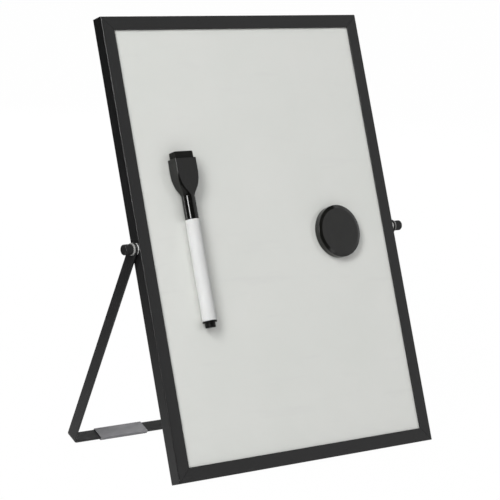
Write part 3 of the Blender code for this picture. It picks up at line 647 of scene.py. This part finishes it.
# %% The sleeves' soft grey
sleeve_grey = make_finish(
    "sleeve_grey_soft_vinyl", {"vinyl": (0.35, 3.0), "dust": (4, 5.0, (3, 1, 1))},
    tone=("dust", (0.178, 0.176, 0.187), (0.222, 0.22, 0.23)), gloss=("vinyl", 0.62, 0.8),
    bump=("vinyl", 0.02), Specular_IOR_Level=0.35,
)

# %% Slip the sleeves on
SLEEVE_GAP, SLEEVE_WALL, SLEEVE_ROUND, SLEEVE_EDGE, HOLE_ROUND = mm(0.15, 0.65, 0.7, 0.2, 0.05)


def sleeve(length):
    """A soft tube along X round the flat bar."""
    hole = soft_box(BAR_WIDTH + 2 * SLEEVE_GAP, BAR_THICKNESS + 2 * SLEEVE_GAP, HOLE_ROUND, 2)
    growth = 2 * (SLEEVE_GAP + SLEEVE_WALL)
    shape = press(soft_box(BAR_WIDTH + growth, BAR_THICKNESS + growth, SLEEVE_ROUND), length, [hole])
    for vert in shape.verts:
        side, rise, along = vert.co
        vert.co = (along - length / 2, side, rise)
    return close_up(shape)


for side in ("left", "right"):
    node = f"grip_sleeve_{side}"
    low, high = reach(ACROSS, node)
    seat = stand_axes @ Matrix.Translation(((low + high) / 2, 0, BAR_THICKNESS / 2 - STAND_REACH))
    sleeve_piece = lay(f"{node}_soft", sleeve(high - low), seat)
    break_edges(sleeve_piece, SLEEVE_EDGE, 3, BAR_SHARP)
    dress(sleeve_piece, node, sleeve_grey)

# %% [markdown]
# ## Step 11: the marker
# The marker hangs with its cap up. Its barrel is satin white plastic. Light spreads inside such plastic for a
# few millimetres and softens the shading, so the finish has subsurface scattering. The plug in its tail is a
# duller black than the cap. The cap is glossy black: a round neck swells into a flat shield-shaped head that
# holds a felt eraser on top and a small magnet in its back. The round parts are turned. The cap is lofted
# through sections that start as a circle and end as a rectangle with tight corners.

# %% Finishes of the marker
barrel_white = make_finish(
    "barrel_white_plastic", {"flow": (8, 3.0, (1, 1, 5)), "grain": (1.1, 2.0)},
    tone=("flow", (0.593, 0.596, 0.586), (0.61, 0.61, 0.6)), gloss=("flow", 0.4, 0.5),
    bump=("grain", 0.004), Specular_IOR_Level=0.25,
    Subsurface_Weight=0.7, Subsurface_Radius=(1.0, 0.95, 0.9), Subsurface_Scale=4 * MM,
)
cap_black = make_finish(
    "cap_black_gloss_plastic", {"flow": (5, 4.0, (1, 1, 3)), "grain": (0.9, 2.0)},
    tone=("flow", (0.0028, 0.0028, 0.0025), (0.0048, 0.0048, 0.0042)), gloss=("flow", 0.045, 0.085),
    bump=("grain", 0.004), Specular_IOR_Level=0.45,
)
plug_black = even_finish(
    "plug_black_plastic", (0.6, 4.0), (0.0035, 0.0035, 0.0032), (0.0058, 0.0058, 0.0053),
    gloss=(0.2, 0.3), bump=0.006, Specular_IOR_Level=0.15,
)
fibre_white = even_finish(
    "fibre_white_ink_rod", (0.3, 4.0, (1, 1, 30)), (0.56, 0.56, 0.53), (0.75, 0.75, 0.71),
    gloss=(0.85, 0.98), bump=0.04,
)
inked_felt = even_finish(
    "nib_inked_felt", (0.25, 4.0, (1, 1, 4)), (0.006, 0.006, 0.008), (0.02, 0.02, 0.024),
    gloss=(0.5, 0.85), bump=0.05,
)

# %% Find the marker's axes
low_mouth = reach(UP, "marker_cap")[0] - GAP
marker_place = ACROSS * middle(ACROSS, "marker_cap") + BACK * middle(BACK, "marker_cap") + UP * low_mouth
marker_axes = axes(marker_place, ACROSS, BACK, UP)
print("the cap's mouth is at", tuple(round(share, 4) for share in marker_place))

# %% Turn the barrel, its plug and its nib
BARREL_RADIUS, BARREL_WALL, BARREL_LENGTH = mm(5.5, 1.0, 78.1)
NECK_RADIUS, NECK_LENGTH, NOSE_RADIUS, NOSE_LENGTH = mm(4.3, 9, 2.6, 8)
NIB_RADIUS, NIB_OUT, NIB_IN, NIB_ROUND, RUN_GAP = mm(1.6, 4.5, 11, 1.05, 0.3)
FINE_EDGE, BARREL_ROUND, NECK_ROUND, NOSE_ROUND = mm(0.1, 0.4, 0.5, 0.25)
nose_end = NECK_LENGTH + NOSE_LENGTH
bore, nib_bore = BARREL_RADIUS - BARREL_WALL, NIB_RADIUS + RUN_GAP
barrel_corners = [
    (bore, -BARREL_LENGTH, FINE_EDGE), (BARREL_RADIUS, -BARREL_LENGTH, BARREL_ROUND),
    (BARREL_RADIUS, 0, BARREL_ROUND), (NECK_RADIUS, 0, 0), (NECK_RADIUS, NECK_LENGTH, NECK_ROUND),
    (NOSE_RADIUS, nose_end, NOSE_ROUND), (nib_bore, nose_end, FINE_EDGE), (nib_bore, nose_end - BARREL_WALL, 0),
    (NECK_RADIUS - BARREL_WALL, NECK_LENGTH - BARREL_WALL, 0), (NECK_RADIUS - BARREL_WALL, -BARREL_WALL, 0),
    (bore, -2 * BARREL_WALL, 0),
]
barrel_piece = lay("marker_barrel_turned", turn(barrel_corners, ROUND_STEPS, ring=True), marker_axes)
dress(barrel_piece, "marker_barrel", barrel_white)

FLANGE_RADIUS, FLANGE, BOSS_RADIUS, BOSS, SPIGOT = mm(5.6, 1.4, 4.1, 3.7, 7)
BOSS_ROUND, BOSS_FOOT, FLANGE_ROUND, SPIGOT_ROUND = mm(0.35, 0.2, 0.3, 0.4)
face = -BARREL_LENGTH - GAP
flange_end = face - FLANGE
plug_corners = [
    (0, flange_end - BOSS, 0), (BOSS_RADIUS, flange_end - BOSS, BOSS_ROUND),
    (BOSS_RADIUS, flange_end, BOSS_FOOT), (FLANGE_RADIUS, flange_end, FLANGE_ROUND),
    (FLANGE_RADIUS, face, FINE_EDGE), (bore - RUN_GAP, face, 0),
    (bore - RUN_GAP, face + SPIGOT, SPIGOT_ROUND), (0, face + SPIGOT, 0),
]
plug_piece = lay("marker_tail_plug_turned", turn(plug_corners, ROUND_STEPS), marker_axes)
dress(plug_piece, "marker_tail_plug", plug_black)

nib_corners = [(0, nose_end - NIB_IN, 0), (NIB_RADIUS, nose_end - NIB_IN, FINE_EDGE)]
nib_corners += [(NIB_RADIUS, nose_end + NIB_OUT, NIB_ROUND), (0, nose_end + NIB_OUT, 0)]
dress(lay("writing_nib_rounded", turn(nib_corners, BORE_STEPS), marker_axes), "writing_nib", inked_felt)
keep(fibre_white, "ink_reservoir")

# %% Loft the cap from a circle to a shield
CAP_NECK, CAP_NECK_LENGTH, CAP_MOUTH = mm(5.3, 18, 0.3)
HEAD_WIDTH, HEAD_THICKNESS, HEAD_LENGTH, HEAD_EDGE, HEAD_RIM = mm(19.6, 11, 29.2, 0.9, 0.4)
CORNER_STEPS, RIM_STEPS, HEAD_RINGS = 24, 4, 50
head_steps = (
    (0.0, 0.0, 0.0), (0.06, 0.05, 0.2), (0.13, 0.24, 0.42), (0.21, 0.5, 0.6), (0.3, 0.72, 0.74),
    (0.43, 0.9, 0.9), (0.57, 0.98, 0.98), (0.72, 1.0, 1.0), (0.86, 0.99, 1.0), (1.0, 0.99, 1.0),
)


def between_steps(share, column):
    """A smooth value between the steps of the head, for this share of its length."""
    spot = next(index for index in range(len(head_steps) - 1) if share <= head_steps[index + 1][0])
    here, there = head_steps[spot], head_steps[spot + 1]
    before, after = head_steps[max(spot - 1, 0)], head_steps[min(spot + 2, len(head_steps) - 1)]
    run = there[0] - here[0]
    part = (share - here[0]) / run
    lean_in = (there[column] - before[column]) / max(there[0] - before[0], run) * run
    lean_out = (after[column] - here[column]) / max(after[0] - here[0], run) * run
    square, cube = part * part, part**3
    value = (2 * cube - 3 * square + 1) * here[column] + (cube - 2 * square + part) * lean_in
    return value + (3 * square - 2 * cube) * there[column] + (cube - square) * lean_out


def cap_section(half_width, half_depth, radius, height):
    """One ring of the cap."""
    return [(x, y, height) for x, y in soft_box(2 * half_width, 2 * half_depth, radius, CORNER_STEPS)]


def head_size(growth):
    """Half the width and depth of the cap where it has grown by this share from its neck to its head."""
    return [CAP_NECK + (full / 2 - CAP_NECK) * growth for full in (HEAD_WIDTH, HEAD_THICKNESS)]


def cap():
    """The outside of the cap, its mouth at z = 0."""
    rings, neck_radius = [], CAP_NECK - SAME_POINT
    quarter = [pi / 2 * step / RIM_STEPS for step in range(RIM_STEPS + 1)]
    for angle in quarter:
        inset, low = CAP_MOUTH * (1 - sin(angle)), GAP + CAP_MOUTH * (1 - cos(angle))
        rings.append(cap_section(CAP_NECK - inset, CAP_NECK - inset, CAP_NECK - inset - SAME_POINT, low))
    for step in range(HEAD_RINGS - 1):
        share = step / HEAD_RINGS
        wide, thick = head_size(between_steps(share, 1))
        radius = neck_radius + (HEAD_EDGE - neck_radius) * between_steps(share, 2)
        rings.append(cap_section(wide, thick, radius, CAP_NECK_LENGTH + HEAD_LENGTH * share))
    top = CAP_NECK_LENGTH + HEAD_LENGTH
    wide, thick = head_size(head_steps[-1][1])
    for angle in quarter:
        inset, height = HEAD_RIM * (1 - cos(angle)), top - HEAD_RIM + HEAD_RIM * sin(angle)
        rings.append(cap_section(wide - inset, thick - inset, HEAD_EDGE - inset, height))
    return loft(rings)


cap_piece = lay("marker_cap_moulded", cap(), marker_axes)
print("the cap's skin has", len(cap_piece.data.polygons), "faces")

# %% Cut the cap's bore and pockets
FELT_WIDTH, FELT_THICKNESS, FELT_OUT, FELT_IN = mm(16.8, 8.6, 5.3, 3.0)
CAP_MAGNET_RADIUS, CAP_MAGNET, CAP_WEB, SEAT = mm(4.0, 2.0, 1.6, 0.3)
BORE_ROOM, NARROW_BORE, STEP_HEIGHT, BORE_TOP, FELT_ROUND = mm(0.1, 3.8, 11.5, 25, 0.6)
WIDE_BORE, POCKET_STEPS = NECK_RADIUS + BORE_ROOM, 6
top = CAP_NECK_LENGTH + HEAD_LENGTH
bore_corners = [
    (0, -OVERSHOOT, 0), (WIDE_BORE, -OVERSHOOT, 0), (WIDE_BORE, STEP_HEIGHT, 0),
    (NARROW_BORE, STEP_HEIGHT + WIDE_BORE - NARROW_BORE, 0), (NARROW_BORE, BORE_TOP, 0), (0, BORE_TOP, 0),
]
carve(cap_piece, turn(bore_corners, ROUND_STEPS), Matrix.Identity(4))
pocket_floor = top - FELT_IN - SEAT
pocket_outline = soft_box(FELT_WIDTH + 2 * SEAT, FELT_THICKNESS + 2 * SEAT, FELT_ROUND, POCKET_STEPS)
carve(cap_piece, press(pocket_outline, FELT_IN + SEAT + OVERSHOOT), Matrix.Translation((0, 0, pocket_floor)))
magnet_height = pocket_floor - CAP_WEB - SEAT - CAP_MAGNET_RADIUS
recess = press(circle(CAP_MAGNET_RADIUS + SEAT, ROUND_STEPS), 2 * SEAT + CAP_MAGNET + OVERSHOOT)
recess_spot = Matrix.Translation((0, HEAD_THICKNESS / 2 + OVERSHOOT, magnet_height))
carve(cap_piece, recess, recess_spot @ Matrix.Rotation(pi / 2, 4, "X"))
dress(cap_piece, "marker_cap", cap_black)

# %% [markdown]
# ## Step 12: the felt eraser
# The eraser is a block of dense black felt, pressed into the cap. Felt has no crisp edge: it is rounded,
# slightly uneven, and a short fuzz stands out all round. A block is remeshed to a fine even skin and pushed
# inwards by noise, so that it stays in its pocket. The fuzz is a second piece of many short bent fibres,
# placed by a random number generator with a fixed seed, so that every run gives the same felt.

# %% The felt's black
felt_black = make_finish(
    "felt_black_wool", {"wool": (0.35, 6.0), "chalk": (3, 4.0)},
    tone=("wool", (0.0045, 0.0045, 0.004), (0.012, 0.012, 0.0108)), gloss=("wool", 0.88, 1.0),
    bump=("wool", 0.12), marks=("chalk", 0.66, 0.8, (0.022, 0.022, 0.021)),
    Specular_IOR_Level=0.05, Sheen_Weight=0.08,
)

# %% Press the felt block and let it settle
FELT_EDGE, SKIN = mm(0.45, 0.28)
LUMPS, GRAIN = mm(2.2, 0.08), mm(0.5, 0.05)
felt_axes = marker_axes @ Matrix.Translation((0, 0, top - FELT_IN))
felt_height = FELT_IN + FELT_OUT
felt_block = press(soft_box(FELT_WIDTH, FELT_THICKNESS, FELT_ROUND), felt_height)
felt_piece = lay("eraser_felt_block", felt_block, felt_axes)
break_edges(felt_piece, FELT_EDGE, 3)
remesh = felt_piece.modifiers.new("even_skin", "REMESH")
remesh.mode, remesh.voxel_size = "VOXEL", SKIN
settle(felt_piece)
felt_normals = [vert.normal.copy() for vert in felt_piece.data.vertices]
for vert, way in zip(felt_piece.data.vertices, felt_normals):
    dents = [depth * (noise.noise(vert.co / size) * 0.5 + 0.5) for size, depth in (LUMPS, GRAIN)]
    vert.co -= way * sum(dents)
dress(felt_piece, "eraser_felt", felt_black)
felt_piece.data.set_sharp_from_angle(angle=pi)

# %% Let a short fuzz stand out of it
FIBRES, INSIDE, FIBRE_LENGTH = 1500, 0.97, mm(0.25, 0.6)
FIBRE_THICKNESS, ROOTED, POCKET_CLEARANCE, TOP_CLEARANCE = mm(0.03, 0.15, 0.4, 0.2)
BEND_SWAY, TIP_SWAY, BEND_SHARE, TIP_SHARE, THINNING = 0.4, 1.3, 0.55, 0.45, 0.8
chance = Random(11)


def fuzz_spot():
    """A spot on the felt outside its pocket, and the way out of it there."""
    x, y = FELT_WIDTH / 2, FELT_THICKNESS / 2
    areas = {"top": 4 * x * y, "front": 4 * x * FELT_OUT, "side": 4 * y * FELT_OUT}
    kind = chance.choices(list(areas), list(areas.values()))[0]
    across, deep, way = chance.uniform(-x, x) * INSIDE, chance.uniform(-y, y) * INSIDE, chance.choice((-1, 1))
    height = chance.uniform(FELT_IN + POCKET_CLEARANCE, felt_height - TOP_CLEARANCE)
    if kind == "top":
        return Vector((across, deep, felt_height - ROOTED)), Vector((0, 0, 1))
    if kind == "front":
        return Vector((across, way * (y - ROOTED), height)), Vector((0, way, 0))
    return Vector((way * (x - ROOTED), deep, height)), Vector((way, 0, 0))


def felt_fuzz():
    """All the fibres in one shape: each one a thin bent spike of three sides."""
    shape, angles = bmesh.new(), [tau * corner / 3 for corner in range(3)]
    for _ in range(FIBRES):
        root, out = fuzz_spot()
        sweep = Vector((chance.uniform(-1, 1), chance.uniform(-1, 1), chance.uniform(-1, 1)))
        length = chance.uniform(*FIBRE_LENGTH)
        bend = root + (out + sweep * BEND_SWAY).normalized() * length * BEND_SHARE
        tip = bend + (out + sweep * TIP_SWAY).normalized() * length * TIP_SHARE
        side = out.orthogonal().normalized()
        across, rings = out.cross(side), []
        for spot, thickness in ((root, FIBRE_THICKNESS), (bend, FIBRE_THICKNESS * THINNING)):
            ways = [side * cos(angle) + across * sin(angle) for angle in angles]
            rings.append([shape.verts.new(spot + way * thickness / 2) for way in ways])
        end = shape.verts.new(tip)
        for corner in range(3):
            following = (corner + 1) % 3
            shape.faces.new((rings[0][corner], rings[0][following], rings[1][following], rings[1][corner]))
            shape.faces.new((rings[1][corner], rings[1][following], end))
        shape.faces.new(rings[0][::-1])
    bmesh.ops.recalc_face_normals(shape, faces=shape.faces)
    return shape


fuzz_piece = lay("eraser_felt_fuzz", felt_fuzz(), felt_axes)
fuzz_piece.data.materials.append(felt_black)
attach(fuzz_piece, carried_by["eraser_felt"])
print("fuzz:", FIBRES, "fibres")

# %% [markdown]
# ## Step 13: the magnets
# The round magnet is a ferrite disc in a black moulded cover. The cover has a low straight wall, a sloping
# shoulder and a wide flat face, and it is hollow from behind. One lathe profile gives all of it; 160 steps
# round the axis keep its outline smooth in a close view. The small magnet in the cap is nickel plated.

# %% Finishes of the magnets
plated = even_finish(
    "magnet_nickel_plate", (0.8, 4.0), (0.55, 0.53, 0.49), (0.66, 0.64, 0.6),
    gloss=(0.16, 0.3), bump=0.004, Metallic=1.0,
)
ferrite = even_finish(
    "magnet_sintered_ferrite", (0.3, 5.0), (0.035, 0.035, 0.037), (0.075, 0.075, 0.078),
    gloss=(0.55, 0.75), bump=0.03,
)
magnet_black = make_finish(
    "magnet_black_plastic", {"flow": (6, 4.0), "grain": (0.5, 2.0)},
    tone=("flow", (0.0052, 0.0052, 0.0045), (0.0078, 0.0078, 0.0068)), gloss=("flow", 0.08, 0.13),
    bump=("grain", 0.006),
)

# %% Turn the magnet's cover
MAGNET_RADIUS, MAGNET_FACE, MAGNET_WALL, MAGNET_THICKNESS = mm(21.1, 18.3, 5.2, 6.0)
CAVITY, SHELL, COVER_ROUND, COVER_RIM = mm(15.8, 1.6, 0.4, 0.15)
COVER_STEPS = 160
magnet_place = ACROSS * middle(ACROSS, "magnet_case") + UP * middle(UP, "magnet_case")
magnet_place += FRONT * reach(FRONT, "magnet_case")[0]
magnet_axes = axes(magnet_place, ACROSS, UP, FRONT)
cover = [
    (CAVITY, 0, COVER_RIM), (MAGNET_RADIUS, 0, COVER_ROUND), (MAGNET_RADIUS, MAGNET_WALL, COVER_ROUND),
    (MAGNET_FACE, MAGNET_THICKNESS, COVER_ROUND), (0, MAGNET_THICKNESS, 0),
    (0, MAGNET_THICKNESS - SHELL, 0), (CAVITY, MAGNET_THICKNESS - SHELL, 0),
]
cover_piece = lay("magnet_case_turned", turn(cover, COVER_STEPS, ring=True), magnet_axes)
dress(cover_piece, "magnet_case", magnet_black)
keep(plated, "cap_magnet")
keep(ferrite, "magnet_disc")

# %% [markdown]
# ## Step 14: floor, light and air
# The picture is a product photograph on white. For the camera, and for reflections and glass, the floor is
# white by its own colour. For all other rays it is ordinary pale paint, so that the object keeps its soft
# shadow without being flooded with light. Its mirror image fades with the distance; without that, the black
# sides would look grey. The air works in the same way, a little brighter at the front left. There stands the
# one strong lamp, which draws the soft shadows to the right. A weak lamp above fills them and another lights
# the back. Black gloss takes its shape from what it mirrors, so a bright strip and some dark cards stand
# round the object: the strip draws the thin lines on the cap, the cards the dark bands beside them.

# %% Tell the rays apart
WHITE = (1, 1, 1, 1)


def math_node(tree, operation, one, other):
    """The output of a Math node that joins two numbers."""
    made = tree.nodes.new("ShaderNodeMath")
    made.operation = operation
    return feed(tree, made, {0: one, 1: other}).outputs[0]


def watched_rays(tree):
    """Two numbers of a ray: whether camera, glass or a reflection sees the surface, and if a reflection does."""
    rays = tree.nodes.new("ShaderNodeLightPath").outputs
    seen = math_node(tree, "MAXIMUM", rays["Is Camera Ray"], rays["Is Transmission Ray"])
    return math_node(tree, "MAXIMUM", seen, rays["Is Glossy Ray"]), rays["Is Glossy Ray"]


def show(tree, share, unseen, seen, end):
    """Mix two shaders by a share and join the result to the surface."""
    parts = {0: share, 1: unseen.outputs[0], 2: seen.outputs[0]}
    both = feed(tree, tree.nodes.new("ShaderNodeMixShader"), parts)
    feed(tree, tree.nodes[end], {"Surface": both.outputs[0]})


def bare_material(name):
    """A material that has no shader yet, and its nodes."""
    made = bpy.data.materials.new(name)
    made.use_nodes = True
    made.node_tree.nodes.remove(made.node_tree.nodes["Principled BSDF"])
    return made, made.node_tree


print("a ray sees a surface's own white, or only its light")

# %% A white floor that keeps a shadow
FLOOR_HALF, FLOOR_PAINT = 30, (0.9, 0.9, 0.9, 1)
WHITE_SHARE, NEAR_WHITE, FADE_REACH = 0.99, 0.85, 0.5


def fading(tree, start, distance):
    """A share that has this value in the middle of the floor and falls by two thirds every so many metres."""
    away = tree.nodes.new("ShaderNodeVectorMath")
    away.operation = "LENGTH"
    feed(tree, away, {0: tree.nodes.new("ShaderNodeTexCoord").outputs["Object"]})
    fall = math_node(tree, "POWER", exp(-1 / distance), away.outputs["Value"])
    return math_node(tree, "MULTIPLY", start, fall)


floor_shape = bmesh.new()
bmesh.ops.create_grid(floor_shape, x_segments=4, y_segments=4, size=FLOOR_HALF)
floor = lay("studio_floor", floor_shape, Matrix.Identity(4))
floor_paint, tree = bare_material("studio_floor_white")
watched, mirrored = watched_rays(tree)
faded = math_node(tree, "SUBTRACT", 1.0, fading(tree, NEAR_WHITE, FADE_REACH))
lost = math_node(tree, "MULTIPLY", mirrored, faded)
left = math_node(tree, "SUBTRACT", 1.0, lost)
paint = feed(tree, tree.nodes.new("ShaderNodeBsdfDiffuse"), {"Color": FLOOR_PAINT})
glow = feed(tree, tree.nodes.new("ShaderNodeEmission"), {"Color": WHITE, "Strength": left})
show(tree, math_node(tree, "MULTIPLY", watched, WHITE_SHARE), paint, glow, "Material Output")
floor.data.materials.append(floor_paint)
print("floor:", floor_paint.name)

# %% The air of the studio
AIR_LEVEL, AIR_SWING = 0.255, 0.2
BRIGHT_SIDE = Vector((-0.78, -0.36, 0.51))
air = bpy.data.worlds.new("studio_air")
air.use_nodes = True
bpy.context.scene.world = air
tree = air.node_tree
towards = tree.nodes.new("ShaderNodeVectorMath")
towards.operation = "DOT_PRODUCT"
feed(tree, towards, {0: tree.nodes.new("ShaderNodeTexCoord").outputs["Generated"], 1: BRIGHT_SIDE})
tilted = math_node(tree, "MULTIPLY", towards.outputs["Value"], AIR_SWING)
strength = math_node(tree, "ADD", tilted, AIR_LEVEL)
plain = feed(tree, tree.nodes["Background"], {"Color": WHITE, "Strength": strength})
white = feed(tree, tree.nodes.new("ShaderNodeBackground"), {"Color": WHITE, "Strength": 1})
show(tree, watched_rays(tree)[0], plain, white, "World Output")
print("the air gives", AIR_LEVEL - AIR_SWING, "to", AIR_LEVEL + AIR_SWING, "of a plain level")


# %% One soft lamp at the front left, a weak one above, one behind
def softbox(name, place, aim, width, height, watts):
    """A soft lamp that looks at a spot."""
    lamp = bpy.data.lights.new(name, "AREA")
    lamp.shape, lamp.size, lamp.size_y, lamp.energy = "RECTANGLE", width, height, watts
    made = add_object(name, lamp)
    made.location = place
    made.rotation_euler = (Vector(aim) - Vector(place)).to_track_quat("-Z", "Y").to_euler()
    print(f"{name}: {watts} W, {width} by {height} m")
    return made


key_softbox = softbox("key_softbox", (-2.52, -1.29, 2.0), (0, 0, 0.18), 0.94, 2.2, 100.0)
key_softbox.visible_glossy = False
softbox("fill_softbox", (-0.3, -1.2, 1.55), (0, 0, 0.16), 1.2, 1.2, 3.0)
softbox("rear_softbox", (0.8, 1.7, 0.95), (0, 0.03, 0.17), 1.4, 1.4, 26.0)

# %% Cards that shape what the glossy parts mirror
CARD_AIM = Vector((0, 0, 0.2))


def card(name, place, width, height, tone):
    """A card of one tone that faces the object, seen by reflections alone."""
    x, y = width / 2, height / 2
    shape = bmesh.new()
    shape.faces.new([shape.verts.new(corner) for corner in ((-x, -y, 0), (x, -y, 0), (x, y, 0), (-x, y, 0))])
    aim = (CARD_AIM - Vector(place)).to_track_quat("-Z", "Y").to_matrix().to_4x4()
    made = lay(name, shape, Matrix.Translation(place) @ aim)
    paint, tree = bare_material(name)
    glow = feed(tree, tree.nodes.new("ShaderNodeEmission"), {"Color": WHITE, "Strength": tone})
    feed(tree, tree.nodes["Material Output"], {"Surface": glow.outputs[0]})
    made.data.materials.append(paint)
    made.visible_camera = made.visible_diffuse = made.visible_shadow = made.visible_transmission = False


card("grey_card_right", (1.2, -1.08, 0.68), 1.3, 1.4, 0.67)
card("black_card_camera", (-0.35, -1.90, 0.95), 2.45, 2.3, 0.02)
card("black_card_above", (0.75, -1.0, 1.95), 1.2, 0.9, 0.02)
card("black_card_left", (-1.9, 0.3, 0.7), 2.0, 1.7, 0.02)
card("black_card_back", (-0.9, 1.6, 0.7), 2.2, 1.7, 0.02)
card("dark_card_right", (1.6, 0.6, 1.1), 2.2, 2.6, 0.22)
card("black_card_low", (-1.6, -1.0, 0.25), 1.3, 0.6, 0.02)
card("bright_strip", (-1.42, -0.84, 1.14), 0.33, 1.0, 23.0)
print("cards are set")

# %% [markdown]
# ## Step 15: the camera
# The photograph was taken from the front left, slightly from above, with a long lens, so that the board's
# edges hardly run together. These numbers come from fitting the board's corners, the knobs, the sleeve and
# the magnet to their places in the photograph.

# %% Place the camera
CAMERA_PLACE = Vector((-1.022380, -1.257486, 0.453738))
YAW, PITCH, ROLL = 0.6765157, 0.1816041, 0.0497577
LENS, SENSOR, NEAREST = 150.724, 36, 0.01

looking = Vector((sin(YAW) * cos(PITCH), cos(YAW) * cos(PITCH), -sin(PITCH)))
level = Vector((cos(YAW), -sin(YAW), 0))
over = level.cross(looking)
right_way = level * cos(ROLL) + over * sin(ROLL)
up_way = over * cos(ROLL) - level * sin(ROLL)
camera_data = bpy.data.cameras.new("photo_camera")
camera_data.lens, camera_data.sensor_width, camera_data.clip_start = LENS, SENSOR, NEAREST
camera = add_object("photo_camera", camera_data)
camera.matrix_world = axes(CAMERA_PLACE, right_way, up_way, -looking)
bpy.context.scene.camera = camera
bpy.context.scene.view_settings.view_transform = "Standard"
print(f"camera {CAMERA_PLACE.length:.2f} m away, lens {LENS:.0f} mm")
